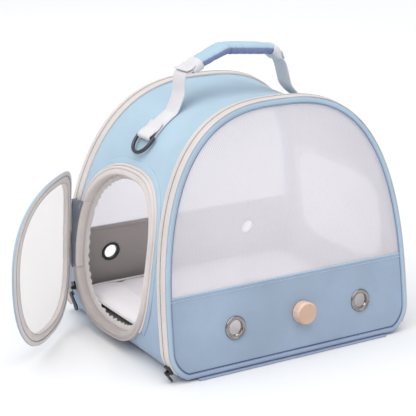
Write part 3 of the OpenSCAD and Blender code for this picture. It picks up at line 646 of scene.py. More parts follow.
def faceRing(side, inset, depth, foot=0.0, picked=slice(None)):
    # a ring round one face, inset from the outline and set back from the face
    flat = ring[picked] - outward[picked] * inset
    z = np.maximum(flat[:, 1], foot + inset) if foot else flat[:, 1]
    y = facePlane(side, z) - side * depth
    return np.stack([flat[:, 0], y, z], 1)


def wallX(y, z, out=0.0):
    # half the width of the wall at a place, as for the frames that stand on it
    start, end = facePlane(front, z) + body["edge"], facePlane(back, z) - body["edge"]
    share = np.clip((y - start) / (end - start), 0, 1)
    sink = 4 * share * (1 - share)
    a = body["halfWidth"] + out - body["sideSag"] * sink
    b = body["height"] - body["cornerRadius"] + out - body["topSag"] * sink
    up = np.clip((z - body["cornerRadius"]) / b, 0, 1)
    return a * (1 - up ** body["archPower"]) ** (1 / body["archPower"])


def sideOutline(opening, grow=0.0, count=160):
    # an opening's outline on a side wall as y and z, evenly spaced
    def points(extra, t):
        power = 2 / opening["power"]
        c, s = np.cos(t), np.sin(t)
        rise = (opening["halfHeight"] + extra) * np.sign(s) * np.abs(s) ** power
        run = (opening["halfWidth"] + extra) * np.sign(c) * np.abs(c) ** power
        return np.stack([opening["y"] + run - opening["skew"] * rise, opening["z"] + rise], 1)

    dense = np.linspace(0, turn, 1441)
    lengths = lengthsAlong(points(0, dense))
    even = np.interp(np.linspace(0, lengths[-1], count, endpoint=False), lengths, dense)
    return points(grow, even)


door = dict(y=3, z=102, halfWidth=84, halfHeight=92, power=2.6, skew=0.11)
window = dict(
    y=(facePlane(front, 118) + facePlane(back, 118)) / 2, z=118, halfWidth=82, halfHeight=55, power=4, skew=0)


def inside(opening, y, z, grow):
    rise = z - opening["z"]
    run = y - opening["y"] + opening["skew"] * rise
    power = opening["power"]
    return (np.abs(run) / (opening["halfWidth"] + grow)) ** power + (
        np.abs(rise) / (opening["halfHeight"] + grow)) ** power < 1


def wallSweep(side, opening, profile, count=160):
    # sweeps a profile of (grow, out) round an opening on the left or right wall
    rows = []
    for grow, out in profile:
        flat = sideOutline(opening, grow, count)
        rows.append(np.stack([side * wallX(flat[:, 0], flat[:, 1], out), flat[:, 0], flat[:, 1]], 1))
    return np.stack(rows, 1)


# ---- stitches and zip teeth, repeated along a line


def repeatTree():
    tree = bpy.data.node_groups.new("rowOfThreads", "GeometryNodeTree")
    tree.interface.new_socket("Geometry", in_out="INPUT", socket_type="NodeSocketGeometry")
    for name, kind in (("Spacing", "Float"), ("Length", "Float"), ("Thickness", "Float"), ("Seed", "Int"),
                       ("Thread", "Material")):
        tree.interface.new_socket(name, in_out="INPUT", socket_type="NodeSocket" + kind)
    tree.interface.new_socket("Geometry", in_out="OUTPUT", socket_type="NodeSocketGeometry")

    def add(kind, settings=None, **links):
        made = tree.nodes.new(kind)
        for key, value in (settings or {}).items():
            setattr(made, key, value)
        for key, value in links.items():
            socket = made.inputs[key.replace("_", " ")]
            if isinstance(value, bpy.types.NodeSocket):
                tree.links.new(value, socket)
            else:
                socket.default_value = value
        return made

    given = add("NodeGroupInput").outputs
    line = add("GeometryNodeMeshToCurve", Mesh=given["Geometry"])
    places = add(
        "GeometryNodeResampleCurve", {"mode": "LENGTH"}, Curve=line.outputs[0], Length=given["Spacing"])
    ends = []
    for share in (-0.5, 0.5):
        end = add("ShaderNodeMath", {"operation": "MULTIPLY"})
        tree.links.new(given["Length"], end.inputs[0])
        end.inputs[1].default_value = share
        ends.append(add("ShaderNodeCombineXYZ", X=end.outputs[0]).outputs[0])
    top = add("ShaderNodeCombineXYZ", Z=given["Thickness"]).outputs[0]
    arch = add("GeometryNodeCurveQuadraticBezier", Resolution=4, Start=ends[0], Middle=top, End=ends[1])
    section = add("GeometryNodeCurvePrimitiveCircle", Resolution=6, Radius=given["Thickness"])
    thread = add(
        "GeometryNodeCurveToMesh", Curve=arch.outputs[0], Profile_Curve=section.outputs[0], Fill_Caps=True)
    along = add("GeometryNodeInputTangent").outputs[0]
    heading = add("FunctionNodeAlignRotationToVector", {"axis": "X"}, Vector=along)
    sway = add("FunctionNodeRandomValue", {"data_type": "FLOAT"}, Seed=given["Seed"])
    sway.inputs[2].default_value, sway.inputs[3].default_value = 0.85, 1.15
    copies = add("GeometryNodeInstanceOnPoints", Points=places.outputs[0], Instance=thread.outputs[0],
                 Rotation=heading.outputs[0], Scale=sway.outputs[1])
    real = add("GeometryNodeRealizeInstances", Geometry=copies.outputs[0])
    dressed = add("GeometryNodeSetMaterial", Geometry=real.outputs[0], Material=given["Thread"])
    tree.links.new(dressed.outputs[0], add("NodeGroupOutput").inputs[0])
    return tree


threadTree = repeatTree()
threadKinds = dict(  # spacing, length and thickness in millimetres, and the look
    stitch=(3.2, 2.2, 0.24, "thread"),
    paleStitch=(3.0, 2.1, 0.22, "paleThread"),
    tooth=(1.5, 0.9, 0.42, "coil"))


def threadRow(name, points, kind, closed=False):
    # small threads set one after another along a line of points
    points = np.asarray(points, float) * mm
    count = len(points)
    edges = [(k, (k + 1) % count) for k in range(count if closed else count - 1)]
    mesh = bpy.data.meshes.new(name)
    mesh.from_pydata(points.tolist(), edges, [])
    row = linked(name, mesh)
    modifier = row.modifiers.new("threads", "NODES")
    modifier.node_group = threadTree
    spacing, length, thickness, look = threadKinds[kind]
    values = {"Spacing": spacing * mm, "Length": length * mm, "Thickness": thickness * mm,
              "Seed": 7, "Thread": looks[look]}
    for item in threadTree.interface.items_tree:
        if item.name in values:
            modifier[item.identifier] = values[item.name]
    return smoothed(applied(row))


# ---- outer fabric and lining

cloth = dict(
    rows=84, thick=3.0, liningInset=3.3, liningThick=0.8, wave=0.9, pucker=0.35, puckerPitch=7.5,
    edgeRoom=25, doorRoom=-5.0, windowRoom=-1.0,  # where it starts to wave; its holes against their outlines
    tent=4.6, tentMiddle=58, tentWidth=33, tentFrom=150)


def tentAt(x):
    # how far the right strap draws the fabric up
    return cloth["tent"] * math.exp(-(((x - cloth["tentMiddle"]) / cloth["tentWidth"]) ** 2))


# how many points of the ring one gather of the pucker takes
puckerSteps = max(3.0, cloth["puckerPitch"] / (lengthsAlong(ring)[-1] / ringCount))


def bodySheet(name, look, out, rows, first, last, openings, wave, pucker=0.0):
    shares = np.linspace(first, last, rows)
    grid = np.zeros((ringCount, rows, 3))
    keep = np.ones((ringCount, rows - 1), bool)
    for j, share in enumerate(shares):
        sink = 4 * share * (1 - share)
        flat = ring + (sunkRing - ring) * sink + outward * out
        z = flat[:, 1]
        start, end = facePlane(front, z) + body["edge"], facePlane(back, z) - body["edge"]
        grid[:, j] = np.stack([flat[:, 0], start + (end - start) * share, z], 1)
    above = np.clip((grid[:, :, 2] - 6) / 20, 0, 1)
    for i in range(ringCount):
        for j in range(rows):
            point = grid[i][j]
            edge = min(shares[j], 1 - shares[j]) * 200
            calm = min(1.0, edge / cloth["edgeRoom"])
            soft = ripple(point, 70, 3.0) + ripple(point, 28, 7.0) * 0.35
            gather = math.sin(i * turn / puckerSteps) * math.exp(-edge / 7) if pucker else 0
            drawn = tentAt(point[0]) * sink ** 1.7 if point[2] > cloth["tentFrom"] else 0
            lift = (wave * soft * calm + pucker * gather) * above[i][j] + drawn
            grid[i][j][0] += outward[i][0] * lift
            grid[i][j][2] += outward[i][1] * lift
    for opening, side, grow in openings:
        pairs = (grid + np.roll(grid, -1, 0)) / 4
        middle = pairs[:, :-1] + pairs[:, 1:]
        cut = inside(opening, middle[:, :, 1], middle[:, :, 2], grow) & (middle[:, :, 0] * side > 60)
        keep &= ~cut
    return gridPiece(name, grid, look, loopAlong=True, keep=keep, mapTurn=True)


def thickened(piece, thick, offset=-1.0):
    modifier = piece.modifiers.new("thick", "SOLIDIFY")
    modifier.thickness, modifier.offset = thick * mm, offset
    modifier.use_even_offset = False
    return applied(piece)


def makeWrap():
    holes = ((door, -1, cloth["doorRoom"]), (window, 1, cloth["windowRoom"]))
    wrap = bodySheet("outerWrap", "blue", 0.0, cloth["rows"], 0.0, 1.0, holes, cloth["wave"], cloth["pucker"])
    settle(thickened(wrap, cloth["thick"]), "shell", "blue_fabric", "shell_wrap")
    lining = bodySheet("innerLining", "lining", -cloth["liningInset"], 64, 0.035, 0.965, holes, 0.3)
    settle(thickened(lining, cloth["liningThick"]), "shell", "grey_lining", "shell_lining")


makeWrap()
print("outer fabric and lining ready")

# ---- panels: padded border, canvas band, net and zip tapes

panel = dict(
    foot=2.8, borderWidth=6.0, tuck=1.6, hem=5.0, netDepth=2.2, billow=0.9, wrinkle=0.28,
    bandTop={front: 88, back: 100}, bodyName={front: "front_panel", back: "back_panel"},
    word={front: "front", back: "back"})
eyelets = {
    front: ((-71, 45.5, 10.2), (87, 45.5, 10.2), (11, 47, 6.5)),  # x, z and size of the holes in each band
    back: ((-93, 66, 10.2), (93, 66, 10.2))}
eyeletRing = (  # radius and depth, round the ring's section
    (7.9, 2.2), (7.9, 0.4), (8.2, -0.3), (8.8, -0.5), (9.3, -0.2), (9.8, -0.5), (10.7, -0.9), (11.6, -0.65),
    (12.25, 0.1), (12.4, 0.9), (11.9, 1.15), (9.2, 1.15), (8.9, 1.5), (8.9, 3.0), (9.2, 3.3), (10.7, 3.3),
    (11.1, 3.7), (10.9, 4.3), (10.2, 4.6), (9.0, 4.5), (8.2, 4.2), (7.9, 3.6))


def makeEyelets(side):
    word = panel["word"][side]
    look, slotName = ("nickel", "nickel") if side == front else ("blackRing", "black_metal")
    for number, (x, z, _) in enumerate(eyelets[side][:2]):
        rows = [[(x + r * c, facePlane(side, z + r * s) - side * depth, z + r * s) for r, depth in eyeletRing]
                for c, s in around(72)]
        piece = gridPiece(word + "Eyelet" + str(number + 1), rows, look, loopAlong=True, loopAcross=True)
        settle(piece, panel["bodyName"][side], slotName, *(() if number else (word + "_eyelets",)))


def faceSweep(name, side, profile, look, foot=0.0, picked=None, wrinkle=0.0, seed=1.0):
    chosen = slice(None) if picked is None else picked
    rows = np.stack([faceRing(side, inset, depth, foot, chosen) for inset, depth in profile], 1)
    if wrinkle:
        lean = outward[chosen]
        for i in range(rows.shape[0]):
            for j in range(rows.shape[1]):
                lift = wrinkle * (ripple(rows[i][j], 8, seed) + 0.8 * ripple(rows[i][j], 30, seed + 5))
                shareOut = 1 - profile[j][0] / panel["borderWidth"]
                rows[i][j][0] += lean[i][0] * lift * shareOut
                rows[i][j][2] += max(0, lean[i][1]) * lift * shareOut
                rows[i][j][1] += side * lift * (1 - abs(shareOut - 0.5))
    return gridPiece(name, rows, look, loopAlong=picked is None, loopAcross=True, caps=picked is not None)


def roundProfile(insetMiddle, depthMiddle, insetHalf, depthHalf, power=0.75, count=22):
    return [(insetMiddle + insetHalf * bulge(c, power), depthMiddle + depthHalf * bulge(s, power))
            for c, s in around(count)]


def outlineX(inset, z):
    half = halfOutline(inset, 0)
    return np.interp(z, half[:, 1], half[:, 0])


def faceRow(side, z, depth, half, count):
    # a line across a panel at a height
    x = np.linspace(-1, 1, count) * half
    return np.stack([x, x * 0 + facePlane(side, z) - side * depth, x * 0 + z], 1)


def acrossFace(side, inset, zs, count, depth, push):
    # rows that run across a panel at the heights zs; push says how far each point stands out
    rows = np.stack([faceRow(side, z, depth, max(outlineX(inset, z), 0.5), count) for z in zs])
    for point in rows.reshape(-1, 3):
        point[1] += side * push(point[0], point[2])
    return rows


def middles(rows):
    return (rows[:-1, :-1] + rows[1:, :-1] + rows[:-1, 1:] + rows[1:, 1:]) / 4


def clearOf(rows, holes):
    centre = middles(rows)
    keep = np.ones(centre.shape[:2], bool)
    for x, z, radius in holes:
        keep &= np.hypot(centre[:, :, 0] - x, centre[:, :, 2] - z) > radius
    return keep


zipHeights = np.where(ring[:, 1] >= body["zipFoot"])[0]
movingTape = ((-0.1, 1.3), (-0.7, 0.9), (-1.0, 1.5), (-1.0, 7.0), (-1.15, 7.5), (-1.6, 7.9), (-1.75, 8.4),
              (-1.5, 8.85), (-0.9, 8.98), (-0.1, 8.95))
fixedTape = ((1.5, 17.7), (1.4, 18.1), (-0.7, 17.8)) + tuple(
    (inset, 18.6 - depth) for inset, depth in movingTape[2:])


def makeBand(side, inset):
    word, rider, top = panel["word"][side], panel["bodyName"][side], panel["bandTop"][side]
    zs = np.linspace(panel["foot"] + inset, top - 1, 62)
    for layer, depth, thick, look, slotName in (
            ("Band", 1.6, 1.2, "band", "band_blue"), ("BandLining", 2.9, 0.9, "backBand", "band_grey")):
        rows = acrossFace(side, inset, zs, 130, depth, lambda x, z: (
            0.35 * min(1, (top - z) / 20) * ripple((x, 0, z), 45, 11.0)))
        piece = gridPiece(word + layer, rows, look, keep=clearOf(rows, eyelets[side]), mapTurn=True)
        settle(thickened(piece, thick, 0.0), rider, slotName, *((word + "_band",) if layer == "Band" else ()))
    hem = panel["hem"]
    folds = {  # the hem's outer half, its bead and its inner half, as rise above the band's top and depth
        "Hem": ("band", ((-hem, 2.2), (-hem, 1.35), (-hem + 1.2, 0.93), (-2.6, 0.75), (-1.5, 0.7),
                         (-0.4, 0.8), (0.2, 1.2), (0.3, 2.2))),
        "HemBead": ("border", [(0.1 + 0.8 * c, 1.05 + 0.8 * s) for c, s in around(10)]),
        "HemInside": ("backBand", ((0.48, 2.1), (0.3, 3.3), (-1.2, 3.9), (-hem + 0.4, 3.8), (-hem, 3.3),
                                   (-hem, 2.1)))}
    for layer, (look, profile) in folds.items():
        places = [(top - 0.4 + rise, depth) for rise, depth in profile]
        rows = np.stack([faceRow(side, z, depth, outlineX(inset, z), 160) for z, depth in places], 1)
        piece = gridPiece(word + "Band" + layer, rows, look, loopAcross=True, caps=True)
        settle(piece, rider, "band_grey" if layer == "HemInside" else "band_blue")
    z = top - 3.6
    line = faceRow(side, z, 0.28, outlineX(inset, z) - 2, 90)
    settle(threadRow(word + "HemStitches", line, "stitch"), rider, "band_blue")


def makePanelNet(side, inset):
    word, top = panel["word"][side], panel["bandTop"][side]
    netTop = body["height"] - inset - 0.2
    middle = (top + netTop) / 2
    heights = top - 4 + (netTop - top + 4) * (1 - (1 - np.linspace(0, 1, 80)) ** 1.6)

    def swell(x, z):
        roomAcross = 1 - (x / max(outlineX(inset, z), 1)) ** 2
        roomUp = max(0, 1 - ((z - middle) / (netTop - middle)) ** 2)
        return (panel["billow"] * roomAcross + 0.35 * ripple((x, 0, z), 60, 4.0)) * roomUp

    rows = acrossFace(side, inset, heights, 100, panel["netDepth"], swell)
    net = gridPiece(word + "Net", rows, "net" if side == front else "fineNet", mapTurn=True)
    half = np.array([outlineX(inset, z) for z in heights])
    settle(net, panel["bodyName"][side], "white_mesh", word + "_mesh")
    (netTop - top + 4) * mm


def makePanel(side):
    word, rider = panel["word"][side], panel["bodyName"][side]
    border = faceSweep(
        word + "Border", side, roundProfile(2.95, 4.5, 3.25, 4.45), "border", panel["foot"], None,
        panel["wrinkle"], 2.0 + side)
    settle(border, rider, "border_fabric", word + "_border")
    section = roundProfile(6.25, 0.75, 0.55, 0.6, 1.0, 8)
    settle(faceSweep(word + "SeamCord", side, section, "seam", panel["foot"]), rider, "border_fabric")
    inset = panel["borderWidth"] - panel["tuck"]
    makeBand(side, inset)
    makePanelNet(side, inset)
    for half, holder, profile, node, teeth, seam in (  # then the depths of its teeth and of its stitches
            ("Panel", rider, movingTape, "_panel_tape", 8.75, 2.6),
            ("Shell", "shell", fixedTape, "_zip_tape", 9.85, 16.2)):
        tape = faceSweep(word + half + "Tape", side, profile, "tape", 0, zipHeights)
        settle(tape, holder, "beige_tape", word + node)
        for row, inward, depth, kind in (
                ("Teeth", -1.75, teeth, "tooth"), ("Stitches", -1.05, seam, "paleStitch")):
            line = faceRing(side, inward, depth, 0, zipHeights)
            settle(threadRow(word + half + row, line, kind), holder, "beige_tape")


for side in (front, back):
    makePanel(side)
    makeEyelets(side)
print("panels ready")

# ---- strips of fabric along the foot, on which the panels hinge

footStrip = dict(length=236, back=8.0, front=-1.6, height=2.0)


def makeFootStrip(side):
    word = panel["word"][side]
    start = body["halfDepth"] * side
    near, far, high = footStrip["front"], footStrip["back"], footStrip["height"]
    profile = [((far + near) / 2 + (far - near) / 2 * bulge(c, 0.6), high / 2 * (1 + bulge(s, 0.7)))
               for c, s in around(16)]
    rows = []
    for x in np.linspace(-1, 1, 90) * footStrip["length"] / 2:
        soft = 0.06 * ripple((x, 0, 0), 9, 3.0)
        rows.append([(x, start - side * depth, z * (1 + soft)) for depth, z in profile])
    piece = gridPiece(word + "FootStrip", rows, "border", loopAcross=True, caps=True)
    settle(piece, "shell", "border_fabric", word + "_hinge_strip")


makeFootStrip(front)
makeFootStrip(back)

# ---- side door's opening: bound frame, gathered edge and zip tape

opening = dict(
    profile=((0, 0.2), (0.1, 3.0), (-0.5, 3.8), (-1.5, 4.15), (-2.4, 3.7), (-2.8, 3.2), (-3.3, 3.8),
             (-7.4, 3.95), (-8.4, 3.5), (-9.0, 2.4), (-9.2, -1.0), (-9.7, -6.6), (-9.2, -7.2), (-8.5, -6.6),
             (-8.0, -4.1), (-1, -4.0), (0, -3.0)),
    frill=((-8.8, -5.0), (-10.4, -5.4), (-12.0, -6.0), (-13.4, -6.8), (-14.6, -7.8)),
    gathers=58, gatherDepth=0.75, stitches=(-6.6, 3.86),
    seamRoom=18.7, foot=33,  # how far the tape and welt stay from the faces and the base
    tape=((0.2, 0.45), (0.2, 1.6), (0.8, 2.2), (1.5, 2.2), (2.1, 1.7), (2.6, 1.5), (2.6, 0.45)),
    welt=((2.3, 0.1), (2.35, 0.7), (2.9, 0.85), (4.4, 0.8), (7.4, 0.6), (8.2, 0.35), (8.5, 0.1)))


def swept(name, side, hole, profile, look, count=260):
    # a closed section drawn round an opening in a side wall
    return gridPiece(name, wallSweep(side, hole, profile, count), look, loopAlong=True, loopAcross=True)


def wallStitches(name, side, hole, place, count=300):
    return threadRow(name, wallSweep(side, hole, (place,), count)[:, 0], "paleStitch", True)


def makeOpening():
    settle(swept("doorFrame", -1, door, opening["profile"], "frameTape"), "shell", "beige_tape", "door_frame")
    count = 740
    rows = wallSweep(-1, door, opening["frill"], count)
    steps = len(opening["frill"])
    for i in range(count):
        for j in range(steps):
            point = rows[i][j]
            phase = turn * opening["gathers"] * i / count + 5.0 * ripple(point, 30, 9.0)
            size = opening["gatherDepth"] * (j / (steps - 1)) ** 0.8 * (1 + 0.8 * ripple(point, 45, 7.0))
            lift = size * (math.sin(phase) + 0.9 * ripple(point, 7, 2.0) + 1.1 * ripple(point, 22, 5.0))
            toMiddle = np.array([0, door["y"] - point[1], door["z"] - point[2]])
            toMiddle /= max(1, np.linalg.norm(toMiddle))
            rows[i][j] = point + toMiddle * lift * 0.5 + (lift * 0.8, 0, 0)
    frill = gridPiece("doorFrill", rows, "frill", loopAlong=True)
    settle(thickened(frill, 0.5, 0.0), "shell", "grey_lining")
    for name, look, slotName in (("tape", "tape", "beige_tape"), ("welt", "blue", "blue_fabric")):
        rows = wallSweep(-1, door, opening[name], 260)
        low = facePlane(front, rows[:, :, 2]) + opening["seamRoom"]
        high = facePlane(back, rows[:, :, 2]) - opening["seamRoom"]
        rows[:, :, 1] = np.clip(rows[:, :, 1], low, high)
        rows = np.roll(rows, -int(np.argmin(rows[:, 0, 2])), 0)
        above = np.where(rows[:, :, 2].min(axis=1) > opening["foot"])[0]
        rows = rows[above[0]:above[-1] + 1]
        piece = gridPiece("doorZip" + name.title(), rows, look, loopAcross=True, caps=True)
        settle(piece, "shell", slotName, *(("door_zip_tape",) if name == "tape" else ()))
    settle(wallStitches("doorFrameStitches", -1, door, opening["stitches"]), "shell", "beige_tape")


makeOpening()
print("door opening ready")

# ---- side window

windowParts = dict(
    binding=((4, 0.25), (3.8, 0.9), (3.0, 1.15), (-2.9, 1.15), (-3.8, 0.8), (-4.05, -0.2), (-4.05, -3.4),
             (-3.5, -4.0), (3.2, -4.0), (4, -3.4)),
    stitches=(-2.4, 1.2), netGrow=-1.0, netOut=-1.6)


def wallPane(name, side, hole, parts, look):
    # a net pane on a wall, a little larger than what shows of it
    grow, out = parts["netGrow"], parts["netOut"]
    flat = sideOutline(hole, grow)
    low, high = flat.min(axis=0), flat.max(axis=0)
    ys, zs = [np.linspace(low[k], high[k], int((high[k] - low[k]) / 2) + 2) for k in (0, 1)]
    y, z = np.meshgrid(ys, zs, indexing="ij")
    rows = np.stack([side * wallX(y, z, out), y, z], 2)
    centre = middles(rows)
    keep = inside(hole, centre[:, :, 1], centre[:, :, 2], grow)
    piece = gridPiece(name, rows, look, keep=keep)
    area = sum(polygon.area for polygon in piece.data.polygons)
    return piece, (float(high[0] - low[0]) * mm, float(high[1] - low[1]) * mm), area


def makeWindow():
    binding = swept("windowBinding", 1, window, windowParts["binding"], "tape", 220)
    settle(binding, "shell", "beige_tape", "side_window_binding")
    settle(wallStitches("windowStitches", 1, window, windowParts["stitches"], 260), "shell", "beige_tape")
    net, size, area = wallPane("windowNet", 1, window, windowParts, "fineNet")
    settle(net, "shell", "white_mesh", "side_window_mesh")


makeWindow()
print("side window ready")

# ---- side door, made shut and then swung open

leaf = dict(
    openAngle=45,
    rim=((0.1, 6.1), (-0.1, 5.4), (-0.9, 4.9), (-3.9, 4.85), (-4.4, 5.25), (-5.0, 5.3), (-5.5, 4.85),
         (-9.3, 4.8), (-9.7, 5.2), (-10.3, 4.85), (-11.2, 4.6), (-12.2, 4.75), (-12.8, 5.3), (-13.2, 7.0),
         (-13.0, 9.0), (-12.2, 9.3)),
    cover=((-12.3, 9.2), (-12.5, 9.9), (-11.6, 10.5), (-8, 10.6), (-3.6, 9.5), (-0.7, 8.1), (0.45, 6.9),
           (0.3, 5.75)),
    groove=((-4.15, 5.25), (-4.3, 4.74), (-4.75, 4.72), (-4.95, 5.2)),
    seam=((-11.6, 4.95), (-11.7, 4.5), (-12.0, 4.5), (-12.1, 5.0)),
    stitches=(-2.4, 4.83), netGrow=-10.5, netOut=9.2)


def swungOpen(piece):
    place = jointPlace("door_swings") * mm
    move = Matrix.Translation(place) @ Matrix.Rotation(math.radians(-leaf["openAngle"]), 4, "Z")
    piece.data.transform(move @ Matrix.Translation(-place))
    return piece


def makeDoor():
    for name, profile, look, slotName, *node in (
            ("doorRim", leaf["rim"], "tape", "beige_tape", "door_rim"),
            ("doorCover", leaf["cover"], "blue", "blue_fabric", "door_cover"),
            ("doorRimGroove", leaf["groove"], "groove", "beige_tape"),
            ("doorRimSeam", leaf["seam"], "groove", "beige_tape")):
        settle(swungOpen(swept(name, -1, door, profile, look)), "side_door", slotName, *node)
    net, size, area = wallPane("doorNet", -1, door, leaf, "leafNet")
    settle(swungOpen(net), "side_door", "white_mesh", "door_mesh")
    stitches = wallStitches("doorRimStitches", -1, door, leaf["stitches"])
    settle(swungOpen(stitches), "side_door", "beige_tape")


hinge = dict(
    low=67, high=143, thick=0.5, leafThick=0.25,
    overFrame=((-9.9, -3.0), (-9.5, 2.2), (-8.9, 3.3), (-8.2, 3.95), (-7.2, 4.1)),  # grow and out
    besideFrame=((-7.5, 4.0), (-4.5, 4.12), (-2.4, 4.2), (-0.8, 4.05)),
    onLeaf=((0.4, 4.9), (-1.4, 4.8), (-4.2, 4.85), (-8, 4.8)),
    crease=((-0.3, -3.4), (-0.75, -1.7), (-1.3, -1.35), (-2.6, -2.4)),  # from the hinge line, seen from above
    onCrease=(-1.0, -1.5), leafStart=(0.7, -1.35),  # where two of the covers meet the crease
    apart=(-0.924, 0.383, 0),  # the way from the shell to the open leaf
    pin=1.45, pinLow=64, pinHigh=142)


def backEdge(z, grow, out):
    # a place on the back side of the door's outline at a height
    rise = z - door["z"]
    share = 1 - (abs(rise) / (door["halfHeight"] + grow)) ** door["power"]
    y = door["y"] + (door["halfWidth"] + grow) * max(share, 0) ** (1 / door["power"]) - door["skew"] * rise
    return -float(wallX(y, z, out)), y


def makeHinge():
    line = jointPlace("door_swings")

    def near(x, y):
        return line.x + x, line.y + y

    covers = {  # its start, its places by the door's edge, its end, how finely it is drawn and how it ripples
        "hingeFrameCover": ([], hinge["overFrame"], [], 22, -1),
        "hingeBeside": ([], hinge["besideFrame"], [near(*hinge["onCrease"])], 12, -1),
        "hingeLeafCover": ([near(*hinge["leafStart"])], hinge["onLeaf"], [], 16, 1),
        "hingeCrease": ([near(*place) for place in hinge["crease"]], (), [], 12, 0)}
    rows = {name: [] for name in covers}
    for z in np.linspace(hinge["low"], hinge["high"], 70):
        soft = 0.25 * ripple((0, 0, z), 13, 6.0) + 0.1 * ripple((0, 3, z), 4, 2.0)
        for name, (start, edge, end, count, lean) in covers.items():
            path = smoothLine(start + [backEdge(z, grow, out) for grow, out in edge] + end, count)
            rows[name].append([(x + lean * soft, y, z) for x, y in path])

    def cover(name, look, thick=hinge["thick"]):
        return thickened(gridPiece(name, rows[name], look, mapTurn=True), thick, 0.0)

    settle(cover("hingeFrameCover", "frameTape"), "shell", "beige_tape")
    # the hinge look holds painted shade for the gap between frame and leaf
    settle(cover("hingeBeside", "hinge"), "shell", "blue_fabric")
    settle(swungOpen(cover("hingeLeafCover", "tape", hinge["leafThick"])), "side_door", "beige_tape")
    strip = cover("hingeCrease", "hinge")
    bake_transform(strip)
    piping = []
    for z in np.linspace(hinge["pinLow"], hinge["pinHigh"], 50):
        wall = -float(wallX(line.y, z, 1.4))
        bends = [math.radians(60 + 20 * k) for k in range(13)]
        section = [near(hinge["pin"] * math.cos(bend), hinge["pin"] * math.sin(bend)) for bend in bends]
        section = [(wall, line.y + 1.4)] + section + [(wall, line.y - 0.2)]
        piping.append([(x, y, z) for x, y in section])
    piece = gridPiece("hingePiping", piping, "hinge", loopAcross=True, caps=True)
    settle(piece, "shell", "blue_fabric", "door_hinge_piping")


makeDoor()
makeHinge()
print("side door ready")

# ---- carry handle: padded grip, webbing and caps

carry = dict(
    y=-3, width=24.5, thick=13,
    line=((-49.5, 296.2), (-43, 299.6), (-29, 305.2), (-18.5, 309.3), (-12, 310.4), (6, 309.0), (27, 307.0),
          (38.5, 305.6), (46.5, 304.0)),
    creases=((-12, 1.9, 2.0), (-5.5, 0.9, 1.6), (4, 0.8, 1.6), (36, 1.1, 2.4), (41, 0.6, 1.8), (20, 0.4, 2.0),
             (-33, 0.5, 2.4)),
    webbing=25, webbingThick=1.6, foldAngle={-1: 114, 1: 111}, ringAngle=129, ringRadius=3.1,
    ends={-1: ((-49.5, 296), 31), 1: ((-46.5, 304), 60)},  # the grip's end, drawn on the left; the cap's slope
    sleeve=(  # place along the cap, half width and half height
        (-3.6, 9.2, 4.8), (-4.3, 10.4, 5.7), (-4.2, 11.4, 6.2), (-3.3, 12.0, 6.4), (0, 12.5, 6.0),
        (4, 12.9, 4.8), (7.5, 13.0, 3.2), (9.5, 13.0, 2.5)),
    mouth={-1: 0.0, 1: 1.5},  # how much further out each sleeve's mouth is
    loop={-1: ((4, 4.6), (8, 4.0), (12, 4.3), (15, 5.4), (16.2, 5.9)),
          1: ((4, 4.6), (8, 4.0), (11, 3.7), (13, 3.4))},
    strap={-1: ((6, 0.8), (11, 1.2), (14.5, 1.7)), 1: ((5, 0.6), (9, 1.0), (12.5, 1.6))},  # inside the cap
    drop={-1: ((-65.7, 289.2), (-67.2, 285.5), (-68.0, 279), (-69.0, 267)),
          1: ((-57.5, 290), (-59.8, 284.5), (-62.0, 277), (-65.6, 265))},
    gripSlope={-1: 27, 1: 13},
    shoulder=(147, 33, 230))  # half width, foot and rise of the arch that the straps lie on


def makeGrip():
    rings, sides = 130, 44
    path = smoothLine([(x, 0, z) for x, z in carry["line"]], rings + 1)
    rows, seam = [], []
    for k, (point, way) in enumerate(zip(path, headings(path))):
        u = 2 * k / rings - 1
        x, z = point[0], point[2]
        swell = 0.78 + 0.22 * max(0, 1 - u * u) ** 0.45
        gathered = math.exp(-(1 - abs(u)) * 16)
        row = []
        for q, (c, s) in enumerate(around(sides)):
            w = carry["width"] / 2 * swell * bulge(c, 0.7)
            h = carry["thick"] / 2 * swell * bulge(s, 0.8)
            crease = sum(depth * math.exp(-((x + 1.8 * c - place) / width) ** 2)
                         for place, depth, width in carry["creases"]) * (0.75 - 0.35 * s)
            loose = 0.4 * ripple((x, w * 2, h * 2), 16, 8.0) + 0.2 * ripple((x * 2, w, h), 7, 3.0)
            ease = 1 - (crease - loose) / 7
            gather = gathered * math.sin(q * turn * 7 / sides)
            w, h = w * ease * (1 + gather * 0.03), h * ease + gather * 0.25
            row.append((x - h * way[2], carry["y"] + w, z + h * way[0]))
        rows.append(row)
        drops = [(carry["thick"] / 2 * swell + 0.35 * s, 1.1 * c) for c, s in around(8)]
        seam.append([(x + drop * way[2], carry["y"] + aside, z - drop * way[0]) for drop, aside in drops])
    grip = gridPiece("handleGrip", rows, "grip", loopAcross=True, caps=True)
    settle(grip, "handle", "blue_fabric", "handle_grip")
    settle(gridPiece("gripSeam", seam, "border", loopAcross=True, caps=True), "handle", "blue_fabric")


def capPoint(side, along, off):
    # a place on a cap, drawn on the left: along it from the grip's end and off its middle line
    end, slope = carry["ends"][side]
    slope = math.radians(slope if along > 0 else carry["gripSlope"][side])
    return (end[0] - along * math.cos(slope) - off * math.sin(slope),
            end[1] - along * math.sin(slope) + off * math.cos(slope))


def shoulderPoint(angle, out):
    # a place on the wrap by its angle round the arch, and the way along it there
    def at(degrees):
        c, s = math.cos(math.radians(degrees)), math.sin(math.radians(degrees))
        half, foot, rise = carry["shoulder"]
        power = 2 / body["archPower"]
        return np.array([half * bulge(c, power), foot + rise * bulge(s, power)])

    along = at(angle + 0.5) - at(angle - 0.5)
    along /= np.linalg.norm(along)
    return at(angle) + out * np.array([along[1], -along[0]]), along


